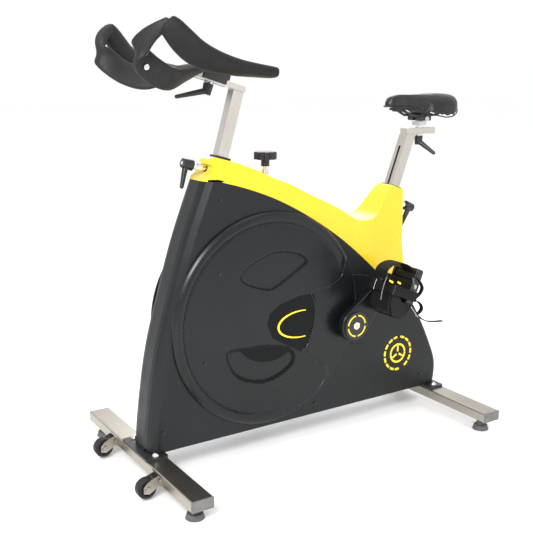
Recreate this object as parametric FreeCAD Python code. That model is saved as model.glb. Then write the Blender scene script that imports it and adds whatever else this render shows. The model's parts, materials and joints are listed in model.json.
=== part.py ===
import FreeCAD, Part
import math
import os

V = FreeCAD.Vector

# Indoor training bicycle. Millimetres. +X forwards, +Y to the rider's left, +Z up, floor at z = 0.
# Working coordinates have x = 0 midway between the two stabilisers. X_SHIFT moves the finished
# model so that the origin is the bottom centre of its bounding box.
X_SHIFT = -3.24

# ---- driving dimensions ---------------------------------------------------------------------
STAB_X = 467.0          # stabiliser centre lines, fore and aft
STAB_L = 620.0          # length of a stabiliser tube
STAB_W = 58.0           # tube width, fore and aft
STAB_H = 28.0           # tube height
STAB_Z = 35.0           # underside of the tubes
STAB_WALL = 2.5
FOOT_Y = 272.0          # levelling feet, from the centre plane
FOOT_R = 23.0
WHEEL_R = 25.0          # transport wheels
WHEEL_X = 527.5
WHEEL_Y = 135.0
WHEEL_Z = 31.5
WHEEL_W = 22.0

COVER_Y = 58.0          # outer face of the side covers
WALL = 3.0              # moulded wall
NOSE_Y = 22.0           # half width of the front centre strip
NOSE_R = 36.0           # rounding from the strip to the side face
COVER_Z0 = 70.0

FLY_X, FLY_Z = 123.0, 370.0
FLY_R = 215.0
FLY_HALF = 13.0
DISC_R = 288.0          # round cover over the flywheel

CRANK_X, CRANK_Z = -136.0, 320.0
CRANK_L = 165.0
CRANK_ANGLE = 134.6     # left crank, from +X towards +Z
ARM_Y0, ARM_Y1 = 80.0, 100.0
PEDAL_Y = 160.0
PEDAL_TILT = 68.0       # how far the toe end hangs down at rest
PULLEY_R, PINION_R = 88.0, 28.0
BELT_Y0, BELT_Y1 = -36.0, -26.0

HEAD_TILT = 16.2        # handlebar post, from the vertical, leaning back
HEAD_X, HEAD_Z = 235.0, 795.0
SEAT_TILT = 20.5        # seat post, from the vertical, leaning back
SEAT_X, SEAT_Z = -334.0, 683.0
HPOST_U, HPOST_Y = 15.0, 14.0   # half sections of the posts
SPOST_U, SPOST_Y = 15.0, 17.0
POST_FIT = 0.08
SLEEVE = 1.6
TUBE_WALL = 2.5

KNOB_X = 100.0
KNOB_R = 30.0

PARTS = {}


# ---- helpers --------------------------------------------------------------------------------
def box(x0, x1, y0, y1, z0, z1):
    return Part.makeBox(x1 - x0, y1 - y0, z1 - z0, V(x0, y0, z0))


def cyl(p, q, r):
    d = V(*q) - V(*p)
    return Part.makeCylinder(r, d.Length, V(*p), d)


def ycyl(x, z, r, y0, y1):
    return Part.makeCylinder(r, y1 - y0, V(x, y0, z), V(0, 1, 0))


def zcyl(x, y, r, z0, z1):
    return Part.makeCylinder(r, z1 - z0, V(x, y, z0), V(0, 0, 1))


def ring(x, z, r0, r1, y0, y1):
    return ycyl(x, z, r1, y0, y1).cut(ycyl(x, z, r0, y0 - 1, y1 + 1))


def prism(pts, y0, y1):
    w = Part.makePolygon([V(x, y0, z) for x, z in pts] + [V(pts[0][0], y0, pts[0][1])])
    return Part.Face(w).extrude(V(0, y1 - y0, 0))


def spline(pts, y=0.0):
    c = Part.BSplineCurve()
    c.interpolate([V(x, y, z) for x, z in pts])
    return c.toShape()


def line(a, b, y=0.0):
    return Part.LineSegment(V(a[0], y, a[1]), V(b[0], y, b[1])).toShape()


def slab(P, tilt, t0, t1, u0, u1, y0, y1):
    """Block in the plane of a leaning post: t runs up the post, u runs forwards across it."""
    a = math.radians(tilt)
    D, U = (-math.sin(a), math.cos(a)), (math.cos(a), math.sin(a))
    pt = lambda t, u: (P[0] + D[0] * t + U[0] * u, P[1] + D[1] * t + U[1] * u)
    return prism([pt(t0, u0), pt(t0, u1), pt(t1, u1), pt(t1, u0)], y0, y1)


def on(P, tilt, t, u, y=0.0):
    a = math.radians(tilt)
    return (P[0] - math.sin(a) * t + math.cos(a) * u, y, P[1] + math.cos(a) * t + math.sin(a) * u)


def member(p, q, w, h, over=0.0):
    """Rectangular bar between two points of the centre plane: w half depth, h half breadth in y."""
    d = V(q[0] - p[0], 0, q[1] - p[1])
    L = d.Length
    d.normalize()
    n = V(-d.z, 0, d.x)
    a = V(p[0], 0, p[1]) - d * over
    b = V(q[0], 0, q[1]) + d * over
    pts = [a + n * w, b + n * w, b - n * w, a - n * w]
    return prism([(v.x, v.z) for v in pts], -h, h)


def fuse(shapes):
    out = shapes[0]
    for s in shapes[1:]:
        out = out.fuse(s)
    return out.removeSplitter()


def mirror_y(s):
    return s.mirror(V(0, 0, 0), V(0, 1, 0))


def rounded(shape, r, pick=None):
    edges = [e for e in shape.Edges if pick is None or pick(e)]
    for k in (1.0, 0.7, 0.45):
        try:
            out = shape.makeFillet(r * k, edges)
            if out.isValid() and out.Volume > 0:
                return out
        except Exception:
            pass
    return shape


def solid(s):
    """A single solid where the shape holds one."""
    if s.ShapeType != "Solid" and len(s.Solids) == 1:
        return s.Solids[0]
    return s


def add(name, shape):
    shape = solid(shape)
    if not shape.isValid():
        shape.fix(0.01, 0.01, 0.05)
    PARTS[name] = shape


def section(c, t, w, a, b, n=16, p=2.6):
    """Closed outline of half width a along w and half thickness b, square to t, round at p = 2."""
    t = V(*t); t.normalize()
    w = V(*w)
    w = w - t * w.dot(t)
    w.normalize()
    m = t.cross(w)
    pts = []
    for i in range(n):
        th = 2 * math.pi * i / n
        ca, sa = math.cos(th), math.sin(th)
        x = a * math.copysign(abs(ca) ** (2 / p), ca)
        y = b * math.copysign(abs(sa) ** (2 / p), sa)
        pts.append(V(*c) + w * x + m * y)
    return pts


def ribbon(rows, grow=0.0):
    """Loft of flat oval sections along a path: rows of (centre, width direction, half width, half thickness)."""
    wires = []
    for i, (c, w, a, b) in enumerate(rows):
        p = rows[max(0, i - 1)][0]
        q = rows[min(len(rows) - 1, i + 1)][0]
        t = (q[0] - p[0], q[1] - p[1], q[2] - p[2])
        pts = section(c, t, w, a + grow, b + grow)
        wires.append(Part.makePolygon(pts + [pts[0]]))
    return Part.makeLoft(wires, True, True)


def dense(rows, k=3):
    """Rows with k - 1 more between each pair, on a smooth curve through them."""
    def cr(a, b, c, d, t):
        return 0.5 * ((2 * b) + (-a + c) * t + (2 * a - 5 * b + 4 * c - d) * t * t + (-a + 3 * b - 3 * c + d) * t ** 3)
    flat = [list(c) + list(w) + [a, b] for c, w, a, b in rows]
    out = []
    for i in range(len(flat) - 1):
        r = [flat[max(0, i - 1)], flat[i], flat[i + 1], flat[min(len(flat) - 1, i + 2)]]
        for j in range(k):
            t = j / k
            v = [cr(r[0][m], r[1][m], r[2][m], r[3][m], t) for m in range(8)]
            out.append((tuple(v[:3]), tuple(v[3:6]), v[6], v[7]))
    out.append(rows[-1])
    return out


HP, SP = (HEAD_X, HEAD_Z), (SEAT_X, SEAT_Z)

# ---- outlines of the casing -----------------------------------------------------------------
FRONT = [(306, 744), (335, 672), (361, 605), (405, 466), (444, 326), (465, 205), (475, 125), (479, COVER_Z0)]
EDGE = [(306, 744), (269, 741), (212, 727), (147, 705), (92, 682), (29, 650), (-37, 611), (-106, 565),
        (-177, 509), (-241, 452), (-290, 405), (-336, 368), (-389, 340)]
REAR = [(-389, 340), (-426, 278), (-470, 190), (-488, 139), (-489, 106), (-483, COVER_Z0)]


def black_face(y):
    e = [spline(FRONT, y), line(FRONT[-1], REAR[-1], y), spline(REAR, y), spline(EDGE, y)]
    return Part.Face(Part.Wire(Part.__sortEdges__(e)))


TOP = [(-154, 614), (-129, 630), (-43, 674), (13, 700), (46, 717), (109, 742), (140, 756), (176, 772)]
SEAT_FRONT = [(-154, 614), (-205, 604), (-246, 618), (-277, 655), on(SP, SEAT_TILT, 2.0, 23.0)[::2]]
SEAT_REAR = [on(SP, SEAT_TILT, 2.0, -23.5)[::2], (-352, 640), (-345, 588), (-337, 530), (-340, 466), (-362, 400), (-388.4, 341.2)]


def yellow_face(y, drop=0.0):
    g = 0.7
    edge = [(x, z + g) for x, z in EDGE]
    c0 = on(HP, HEAD_TILT, -2.0, -27.0)[::2]
    c1 = on(HP, HEAD_TILT, -2.0, 27.0)[::2]
    c2 = on(HP, HEAD_TILT, -10.0, 42.0)[::2]
    c3 = on(HP, HEAD_TILT, -23.0, 43.0)[::2]
    c4 = on(HP, HEAD_TILT, -25.0, 32.0)[::2]
    c5 = on(HP, HEAD_TILT, -40.0, 34.0)[::2]
    c6 = on(HP, HEAD_TILT, -50.0, 41.0)[::2]
    first = edge[0]
    last = edge[-1]
    sr = SEAT_REAR[:-1] + [last]
    e = [spline(edge, y), spline(sr, y), line(SEAT_REAR[0], SEAT_FRONT[-1], y), spline(SEAT_FRONT, y), spline(TOP, y),
         line(TOP[-1], c0, y), line(c0, c1, y), line(c1, c2, y), line(c2, c3, y), line(c3, c4, y), line(c4, c5, y),
         line(c5, c6, y), line(c6, first, y)]
    return Part.Face(Part.Wire(Part.__sortEdges__(e)))


def half_space(x0, z0, y0, gx, gz):
    """Everything with y greater than y0 + gx (x - x0) + gz (z - z0)."""
    n = V(-gx, 1, -gz)
    n.normalize()
    b = Part.makeBox(2400, 2400, 600, V(-1200, -1200, 0))
    b.Placement = FreeCAD.Placement(V(x0, y0, z0), FreeCAD.Rotation(V(0, 0, 1), n))
    return b


# ---- black side covers ------------------------------------------------------------------------
def offset_pts(pts, d):
    """Open line of points moved d to its left, square to its local direction."""
    out = []
    for i, (x, z) in enumerate(pts):
        p = pts[max(0, i - 1)]
        q = pts[min(len(pts) - 1, i + 1)]
        dx, dz = q[0] - p[0], q[1] - p[1]
        L = math.hypot(dx, dz)
        out.append((x - dz / L * d, z + dx / L * d))
    return out


def cover_section(y, half, inset, rise=0.0):
    """Side outline of the casing at breadth y: pulled in where the nose and the back are rounded."""
    nr, br = NOSE_R - inset, 14.0 - inset
    over = max(0.0, y - NOSE_Y)
    dn = nr - math.sqrt(max(0.0, nr * nr - min(nr, over) ** 2))
    ob = max(0.0, y - (half - br))
    db = br - math.sqrt(max(0.0, br * br - min(br, ob) ** 2))
    front = [(x - dn, z) for x, z in FRONT]
    rear = [(x + db, z) for x, z in REAR]
    edge = [(front[0][0], front[0][1])] + [p for p in EDGE[2:-1]] + [(rear[0][0], rear[0][1])]
    z0 = COVER_Z0
    if inset:
        front = offset_pts(front, -inset)
        rear = offset_pts(rear, -inset)
        z0 += inset
        edge = [(x, z + rise) for x, z in edge]
        front = [(edge[0][0] - inset, edge[0][1])] + front[1:]
        edge[0] = front[0]
        rear = [(edge[-1][0] + inset, edge[-1][1])] + rear[1:]
        edge[-1] = rear[0]
    front[-1] = (front[-1][0], z0)
    rear[-1] = (rear[-1][0], z0)
    e = [spline(front, y), line(front[-1], rear[-1], y), spline(rear[::-1], y), spline(edge[::-1], y)]
    return Part.Wire(e)


def stack(half, inset, y0, rise=0.0):
    ys = [y0, NOSE_Y] + [NOSE_Y + (half - NOSE_Y) * math.sin(math.radians(a)) for a in (18, 36, 52, 66, 78)] + [half]
    return Part.makeLoft([cover_section(y, half, inset, rise) for y in ys], True, True)


def black_half():
    outer = stack(COVER_Y, 0.0, 0.25)
    inner = stack(COVER_Y - WALL, WALL, -4.0, 9.0)
    s = outer.cut(inner)
    # channel for the centre strip
    back_curve = [(x - 9, z) for x, z in FRONT]
    fwd_curve = [(x + 6, z) for x, z in FRONT]
    back_curve = [(back_curve[0][0], 760)] + back_curve[1:-1] + [(back_curve[-1][0], 60)]
    fwd_curve = [(fwd_curve[0][0], 760)] + fwd_curve[1:-1] + [(fwd_curve[-1][0], 60)]
    poly = back_curve + fwd_curve[::-1]
    s = s.cut(prism(poly, -6, NOSE_Y + 0.25))
    s = s.cut(ycyl(CRANK_X, CRANK_Z, 20.0, 40, 70))
    # feet of the frame pass through the bottom wall
    s = s.cut(box(424, 500, -5, 35, 60, 76)).cut(box(-500, -424, -5, 35, 60, 76))
    for x, z in SCREWS:
        s = s.cut(ycyl(x, z, 2.6, 50, 60))
    return max(s.Solids, key=lambda q: q.Volume)


SCREWS = [(268, 697), (440, 122), (-29, 100), (-424, 109)]
left_cover = black_half()
add("left_side_cover", left_cover)
add("right_side_cover", mirror_y(solid(left_cover)))

e = [spline(FRONT, -NOSE_Y), spline([(x - 3.0, z) for x, z in FRONT], -NOSE_Y),
     line(FRONT[0], (FRONT[0][0] - 3.0, FRONT[0][1]), -NOSE_Y), line(FRONT[-1], (FRONT[-1][0] - 3.0, FRONT[-1][1]), -NOSE_Y)]
strip = Part.Face(Part.Wire(Part.__sortEdges__(e))).extrude(V(0, 2 * NOSE_Y, 0))
strip = strip.cut(box(440, 500, -1.0, 1.0, 60, 74))
add("front_strip", strip)

# ---- yellow upper cover -----------------------------------------------------------------------
def nose_clip(inset):
    y = COVER_Y - inset
    n = NOSE_Y
    r = NOSE_R - inset
    z = 700.0
    x = 306 + 12.8 - inset
    k = math.sqrt(0.5)
    pts = []
    a1 = Part.Arc(V(x, n, z), V(x - r * (1 - k), n + r * k, z), V(x - r, y, z)).toShape()
    a2 = Part.Arc(V(x - r, -y, z), V(x - r * (1 - k), -n - r * k, z), V(x, -n, z)).toShape()
    L = lambda a, b: Part.LineSegment(V(*a), V(*b)).toShape()
    e = [a1, L((x - r, y, z), (60, y, z)), L((60, y, z), (60, -y, z)), L((60, -y, z), (x - r, -y, z)), a2,
         L((x, -n, z), (x, n, z))]
    f = Part.Face(Part.Wire(Part.__sortEdges__(e)))
    d = V(-math.sin(math.radians(HEAD_TILT)), 0, math.cos(math.radians(HEAD_TILT)))
    return f.extrude(d * 130).fuse(box(-520, 190, -y, y, 250, 860)).removeSplitter()


def yellow_solid(inset):
    f = yellow_face(-COVER_Y)
    y = COVER_Y - inset
    if inset:
        w = f.makeOffset2D(-inset).OuterWire
        pts = [(p.x, p.z) for p in w.discretize(Distance=9.0)]
        pts = [p for i, p in enumerate(pts) if math.hypot(p[0] - pts[i - 1][0], p[1] - pts[i - 1][1]) > 0.5]
        f = Part.Face(Part.makePolygon([V(x, -y, z) for x, z in pts + pts[:1]]))
    s = f.extrude(V(0, 2 * y, 0))
    if not inset:
        s = rounded(s, 13.0, lambda e: abs(abs(e.BoundBox.YMin) - y) < 0.2 and e.BoundBox.YLength < 0.2
                    and e.BoundBox.XMin > -160 and e.BoundBox.XMax < 180 and e.BoundBox.ZMin > 600)
    s = s.common(nose_clip(inset))
    for hs in (half_space(-334, 683, 28 - inset, 0.1274, -0.1602), half_space(235, 795, 28 - inset, -0.158, -0.585)):
        s = s.cut(hs).cut(mirror_y(hs))
    return s


yo = yellow_solid(0.0)
yi = yellow_solid(WALL)
top_cover = yo.cut(yi)
# the underside is open between its side flanges, and the posts come out of the top
low_edge = [(x, z + 7.0) for x, z in EDGE if -350 < x < 280]
low_edge = [(296, low_edge[0][1] + 1)] + low_edge + [(-352, low_edge[-1][1] - 8)]
drop = [(x, z - 40) for x, z in low_edge]
under = prism(low_edge + drop[::-1], -COVER_Y + WALL, COVER_Y - WALL)
top_cover = top_cover.cut(under)
HU, HY = HPOST_U + POST_FIT + SLEEVE + TUBE_WALL, HPOST_Y + POST_FIT + SLEEVE + TUBE_WALL
SU, SY = SPOST_U + POST_FIT + SLEEVE + TUBE_WALL, SPOST_Y + POST_FIT + SLEEVE + TUBE_WALL
top_cover = top_cover.cut(slab(HP, HEAD_TILT, -30, 20, -HU - 0.5, HU + 0.5, -HY - 0.5, HY + 0.5))
top_cover = top_cover.cut(slab(SP, SEAT_TILT, -30, 20, -SU - 1.4, SU + 1.4, -SY - 1.4, SY + 1.4))
top_cover = top_cover.cut(cyl(on(HP, HEAD_TILT, -35, 20), on(HP, HEAD_TILT, -35, 60), 8.5))
top_cover = top_cover.cut(cyl(on(SP, SEAT_TILT, -35, -20), on(SP, SEAT_TILT, -35, -60), 8.5))
top_cover = top_cover.cut(zcyl(KNOB_X, 0, 10.5, 700, 780))
big = max(top_cover.Solids, key=lambda s: s.Volume)
add("top_cover", big)

# ---- round covers over the flywheel -------------------------------------------------------------
prof = [(0, 58.3), (DISC_R, 58.3), (DISC_R, 61), (DISC_R - 3, 66), (DISC_R - 8, 70), (DISC_R - 14, 71.5), (DISC_R - 20, 70),
        (DISC_R - 25, 66), (DISC_R - 28, 63.5), (0, 63.5)]
w = Part.makePolygon([V(FLY_X + r, y, FLY_Z) for r, y in prof] + [V(FLY_X, prof[0][1], FLY_Z)])
disc = Part.Face(w).revolve(V(FLY_X, 0, FLY_Z), V(0, 1, 0), 360)
UPPER = [(148, 543), (180, 530), (215, 507), (224, 494), (215, 478), (178, 462), (130, 448), (98, 456), (28, 498), (5, 516), (28, 534), (70, 549), (113, 552)]
LOWER = [(258, 306), (190, 306), (130, 304), (66, 285), (45, 246), (85, 218), (145, 208), (222, 232), (252, 262)]
DROP = [(8, 446), (60, 432), (105, 412), (138, 380), (132, 345), (92, 322), (36, 285), (10, 320), (-6, 378)]


def pocket(pts, y0, y1, r=14):
    s = prism(pts, y0, y1)
    return rounded(s, r, lambda e: e.BoundBox.YLength > (y1 - y0) * 0.9)


disc = disc.cut(pocket(UPPER, 61.0, 66)).cut(pocket(LOWER, 61.0, 66)).cut(pocket(DROP, 61.5, 66))
# flat panel round the crank: the rim bead stops at it
PANEL = [(-120, 491), (-107, 453), (-70, 435), (-11, 427), (-20, 397), (-22, 351), (-1, 286), (25, 263), (-12, 235), (-61, 206),
         (-80, 150), (-20, 60), (-260, 60), (-330, 320), (-200, 520), (-128, 512)]
disc = disc.cut(prism(PANEL, 61.0, 80))
disc = disc.cut(ycyl(CRANK_X, CRANK_Z, 20.0, 50, 80))
DSCREWS = [(275, 513), (322, 284)]
for x, z in DSCREWS:
    disc = disc.cut(ycyl(x, z, 2.6, 50, 70))
add("left_disc_cover", disc)
add("right_disc_cover", mirror_y(solid(disc)))

screws = []
for sgn in (1, -1):
    for x, z in SCREWS:
        s = ycyl(x, z, 5.0, 58.15, 60.3).fuse(ycyl(x, z, 2.45, 49, 58.2)).cut(box(x - 3.2, x + 3.2, 59.4, 62, z - 0.6, z + 0.6)).removeSplitter()
        screws.append(solid(s if sgn > 0 else mirror_y(s)))
    for x, z in DSCREWS:
        s = ycyl(x, z, 5.0, 63.65, 65.6).fuse(ycyl(x, z, 2.45, 58.6, 63.7)).cut(box(x - 3.2, x + 3.2, 64.8, 68, z - 0.6, z + 0.6)).removeSplitter()
        screws.append(solid(s if sgn > 0 else mirror_y(s)))
add("cover_screws", Part.makeCompound(screws))

# ---- welded frame ---------------------------------------------------------------------------------
def frame_solid(shrink, over):
    k = shrink
    m = [slab(HP, HEAD_TILT, -275 - over, 0 + over, -HU + k, HU - k, -HY + k, HY - k),
         slab(SP, SEAT_TILT, -600, 0 + over, -SU + k, SU - k, -SY + k, SY - k),
         member((238, 728), (-282, 519), 23 - k, 20 - k),
         member((311, 548), (374, 440), 18 - k, 18 - k, 8),
         member((374, 440), (438, 100), 18 - k, 18 - k, 4),
         member((455, 100), (-455, 100), 19 - k, 20 - k, over)]
    return m


outer = fuse(frame_solid(0.0, 0.0))
inner = fuse(frame_solid(TUBE_WALL, 6.0))
shell = ring(CRANK_X, CRANK_Z, 17.0, 24.0, -20, 44)
web = [box(-200, -158, -12, 12, 302, 338), box(-142, -130, -12, 12, 118, 298)]
plates = []
for s in (1, -1):
    y0, y1 = (40, 46) if s > 0 else (-46, -40)
    plates.append(prism([(80, 116), (166, 116), (150, 370), (140, 390), (123, 397), (106, 390), (96, 370)], y0, y1))
cross = box(88, 158, -46, 46, 108, 118)
guide = zcyl(KNOB_X, 0, 14.0, 640, 724)
frame = fuse([outer.cut(inner), web[0], web[1], cross] + plates + [guide])
frame = frame.cut(ycyl(CRANK_X, CRANK_Z, 17.0, -30, 50)).fuse(shell).removeSplitter()
frame = frame.cut(zcyl(KNOB_X, 0, 9.06, 600, 760))
frame = frame.cut(zcyl(KNOB_X, 0, 14.5, 600, 648))
frame = frame.cut(slab(HP, HEAD_TILT, -275, 10, -HPOST_U - SLEEVE - POST_FIT, HPOST_U + SLEEVE + POST_FIT, -HPOST_Y - SLEEVE - POST_FIT, HPOST_Y + SLEEVE + POST_FIT))
frame = frame.cut(slab(SP, SEAT_TILT, -420, 10, -SPOST_U - SLEEVE - POST_FIT, SPOST_U + SLEEVE + POST_FIT, -SPOST_Y - SLEEVE - POST_FIT, SPOST_Y + SLEEVE + POST_FIT))
frame = frame.cut(cyl(on(HP, HEAD_TILT, -35, 0), on(HP, HEAD_TILT, -35, 60), 6.0))
frame = frame.cut(cyl(on(SP, SEAT_TILT, -35, 0), on(SP, SEAT_TILT, -35, -60), 6.0))
frame = frame.cut(ycyl(FLY_X, FLY_Z, 7.5, -60, 60))
frame = max(frame.Solids, key=lambda s: s.Volume)
add("main_frame", frame)


def sleeve(P, tilt, u, y):
    a = slab(P, tilt, -90, 0.0, -u - POST_FIT - SLEEVE + 0.02, u + POST_FIT + SLEEVE - 0.02, -y - POST_FIT - SLEEVE + 0.02, y + POST_FIT + SLEEVE - 0.02)
    b = slab(P, tilt, 0.1, 4.5, -u - 5.2, u + 5.2, -y - 5.2, y + 5.2)
    s = a.fuse(slab(P, tilt, -1, 1, -u - POST_FIT - SLEEVE + 0.02, u + POST_FIT + SLEEVE - 0.02, -y - POST_FIT - SLEEVE + 0.02, y + POST_FIT + SLEEVE - 0.02)).fuse(b)
    s = s.cut(slab(P, tilt, -100, 10, -u - POST_FIT, u + POST_FIT, -y - POST_FIT, y + POST_FIT))
    f = 1 if P is HP else -1
    s = s.cut(cyl(on(P, tilt, -35, 0), on(P, tilt, -35, 40 * f), 6.0))
    return solid(s.removeSplitter())


add("post_sleeves", Part.makeCompound([sleeve(HP, HEAD_TILT, HPOST_U, HPOST_Y), sleeve(SP, SEAT_TILT, SPOST_U, SPOST_Y)]))

# foot brackets under the frame and their bolts
brackets = []
for sx, yy in ((1, 78), (-1, 86)):
    cx = sx * STAB_X
    p = box(cx - 30, cx + 30, -yy, yy, 63.0, 69.0)
    p = rounded(p, 6, lambda e: e.BoundBox.ZLength > 5)
    b = p.fuse(box(min(cx - sx * 40, cx + sx * 6), max(cx - sx * 40, cx + sx * 6), -30, 30, 68.0, 81.0))
    for s in (1, -1):
        b = b.cut(zcyl(cx, s * (yy - 14), 5.2, 60, 72))
    brackets.append(solid(b.removeSplitter()))
add("foot_brackets", Part.makeCompound(brackets))
bolts = []
for sx, yy in ((1, 78), (-1, 86)):
    for s in (1, -1):
        x, y = sx * STAB_X, s * (yy - 14)
        h = zcyl(x, y, 9.0, 69.0, 71.0)
        d = Part.makeSphere(8.6, V(x, y, 70.0)).common(box(x - 9, x + 9, y - 9, y + 9, 70.5, 90))
        bolts.append(solid(h.fuse(d).fuse(zcyl(x, y, 5.0, 38.5, 70)).removeSplitter()))
add("foot_bolts", Part.makeCompound(bolts))


def stabiliser(cx, bolt_y):
    x0, x1 = cx - STAB_W / 2, cx + STAB_W / 2
    o = box(x0, x1, -STAB_L / 2, STAB_L / 2, STAB_Z, STAB_Z + STAB_H)
    o = rounded(o, 3.5, lambda e: e.BoundBox.YLength > 100)
    i = box(x0 + STAB_WALL, x1 - STAB_WALL, -STAB_L, STAB_L, STAB_Z + STAB_WALL, STAB_Z + STAB_H - STAB_WALL)
    s = o.cut(i)
    for k in (1, -1):
        s = s.fuse(zcyl(cx, k * FOOT_Y, 10.0, STAB_Z + 1, STAB_Z + 16))
        s = s.cut(zcyl(cx, k * FOOT_Y, 5.07, STAB_Z - 5, STAB_Z + 20))
        s = s.fuse(zcyl(cx, k * bolt_y, 9.0, STAB_Z + 1, STAB_Z + STAB_H - 1))
        s = s.cut(zcyl(cx, k * bolt_y, 5.0, STAB_Z + 3.5, STAB_Z + STAB_H + 5))
    return s.removeSplitter()


add("front_stabilizer", stabiliser(STAB_X, 64))
add("rear_stabilizer", stabiliser(-STAB_X, 72))
plugs = []
for cx in (STAB_X, -STAB_X):
    for k in (1, -1):
        a = box(cx - STAB_W / 2 + STAB_WALL + 0.02, cx + STAB_W / 2 - STAB_WALL - 0.02, min(k * 292, k * 310), max(k * 292, k * 310),
                STAB_Z + STAB_WALL + 0.02, STAB_Z + STAB_H - STAB_WALL - 0.02)
        b = box(cx - STAB_W / 2 + 0.5, cx + STAB_W / 2 - 0.5, min(k * 310, k * 313), max(k * 310, k * 313), STAB_Z + 0.5, STAB_Z + STAB_H - 0.5)
        plugs.append(solid(a.fuse(b).removeSplitter()))
add("stabilizer_plugs", Part.makeCompound(plugs))

# levelling feet
for nx, cx in (("front", STAB_X), ("rear", -STAB_X)):
    for ny, k in (("left", 1), ("right", -1)):
        y = k * FOOT_Y
        c = Part.makeCone(FOOT_R, FOOT_R - 4, 13, V(cx, y, 0), V(0, 0, 1)).fuse(zcyl(cx, y, 12, 12, 25)).fuse(zcyl(cx, y, 5.0, 24, 48))
        add("%s_%s_foot" % (nx, ny), c.removeSplitter())

# transport wheels
wb = []
XF = STAB_X + STAB_W / 2
for k in (1, -1):
    y = k * WHEEL_Y
    base = box(XF + 0.2, XF + 3.2, y - 26, y + 26, STAB_Z + 2, STAB_Z + STAB_H - 2)
    ears = []
    for q in (1, -1):
        ya, yb = (y + 13, y + 16) if q > 0 else (y - 16, y - 13)
        ears.append(prism([(XF + 1, 37), (XF + 1, 61), (WHEEL_X + 2, 50), (WHEEL_X + 12, 40), (WHEEL_X + 12, 24), (WHEEL_X - 2, 20), (XF + 18, 26)], ya, yb))
    b = base.fuse(ears[0]).fuse(ears[1]).cut(ycyl(WHEEL_X, WHEEL_Z, 5.0, y - 30, y + 30)).removeSplitter()
    ax = ycyl(WHEEL_X, WHEEL_Z, 5.0, y - 17, y + 17).fuse(ycyl(WHEEL_X, WHEEL_Z, 8.0, y + 16.05, y + 20)).fuse(ycyl(WHEEL_X, WHEEL_Z, 8.0, y - 20, y - 16.05)).removeSplitter()
    wb += [solid(b), solid(ax)]
    for q in (1, -1):
        wb.append(solid(Part.makeCylinder(4.5, 3.0, V(XF + 3.25, y + q * 21, STAB_Z + 14), V(1, 0, 0))))
add("wheel_brackets", Part.makeCompound(wb))
for n, k in (("left", 1), ("right", -1)):
    y = k * WHEEL_Y
    tyre = ycyl(WHEEL_X, WHEEL_Z, WHEEL_R, y - WHEEL_W / 2, y + WHEEL_W / 2)
    tyre = rounded(tyre, 3.0, lambda e: e.BoundBox.YLength < 1)
    tyre = tyre.cut(ring(WHEEL_X, WHEEL_Z, 9, 17, y + 8, y + 14)).cut(ring(WHEEL_X, WHEEL_Z, 9, 17, y - 14, y - 8))
    add("%s_transport_wheel" % n, tyre.cut(ycyl(WHEEL_X, WHEEL_Z, 5.06, y - 20, y + 20)))

# ---- flywheel ---------------------------------------------------------------------------------
pr = [(17, 20), (34, 20), (38, 5), (168, 5), (174, FLY_HALF), (FLY_R - 2, FLY_HALF), (FLY_R, FLY_HALF - 2),
      (FLY_R, -FLY_HALF + 2), (FLY_R - 2, -FLY_HALF), (174, -FLY_HALF), (168, -5), (38, -5), (34, -20), (17, -20)]
w = Part.makePolygon([V(FLY_X + r, y, FLY_Z) for r, y in pr] + [V(FLY_X + pr[0][0], pr[0][1], FLY_Z)])
fly = Part.Face(w).revolve(V(FLY_X, 0, FLY_Z), V(0, 1, 0), 360)
for i in range(6):
    a = math.radians(60 * i + 30)
    fly = fly.cut(ycyl(FLY_X + 104 * math.cos(a), FLY_Z + 104 * math.sin(a), 30, -10, 10))
add("flywheel", fly)
add("flywheel_bearings", Part.makeCompound([ring(FLY_X, FLY_Z, 7.56, 17.0, 8, 20), ring(FLY_X, FLY_Z, 7.56, 17.0, -20, -8)]))
pin = ring(FLY_X, FLY_Z, 8.2, PINION_R, BELT_Y0, BELT_Y1).fuse(ring(FLY_X, FLY_Z, 8.2, PINION_R + 3, -38, BELT_Y0)).fuse(ring(FLY_X, FLY_Z, 8.2, PINION_R + 3, BELT_Y1, -24)).fuse(ring(FLY_X, FLY_Z, 8.2, 22, -24, -20))
add("flywheel_pulley", pin.removeSplitter())
axle = ycyl(FLY_X, FLY_Z, 7.5, -52.5, 52.5)
nuts = []
for k in (1, -1):
    hexp = [(FLY_X + 12.5 * math.cos(math.radians(60 * i)), FLY_Z + 12.5 * math.sin(math.radians(60 * i))) for i in range(6)]
    n = prism(hexp, 46 if k > 0 else -52, 52 if k > 0 else -46).cut(ycyl(FLY_X, FLY_Z, 7.5, -60, 60))
    nuts.append(solid(n))
add("flywheel_axle", Part.makeCompound([solid(axle)] + nuts))

# ---- crank drive --------------------------------------------------------------------------------
add("crank_axle", ycyl(CRANK_X, CRANK_Z, 10.0, -ARM_Y1, ARM_Y1))
add("crank_bearings", Part.makeCompound([ring(CRANK_X, CRANK_Z, 10.07, 17.0, -20, -9), ring(CRANK_X, CRANK_Z, 10.07, 17.0, 33, 44)]))
big_p = ring(CRANK_X, CRANK_Z, 10.0, PULLEY_R, BELT_Y0, BELT_Y1).fuse(ring(CRANK_X, CRANK_Z, 10.0, PULLEY_R + 3, -38, BELT_Y0)).fuse(ring(CRANK_X, CRANK_Z, 10.0, PULLEY_R + 3, BELT_Y1, -24)).removeSplitter()
for i in range(5):
    a = math.radians(72 * i + 10)
    big_p = big_p.cut(ycyl(CRANK_X + 54 * math.cos(a), CRANK_Z + 54 * math.sin(a), 20, -50, -10))
add("crank_pulley", big_p)


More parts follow.
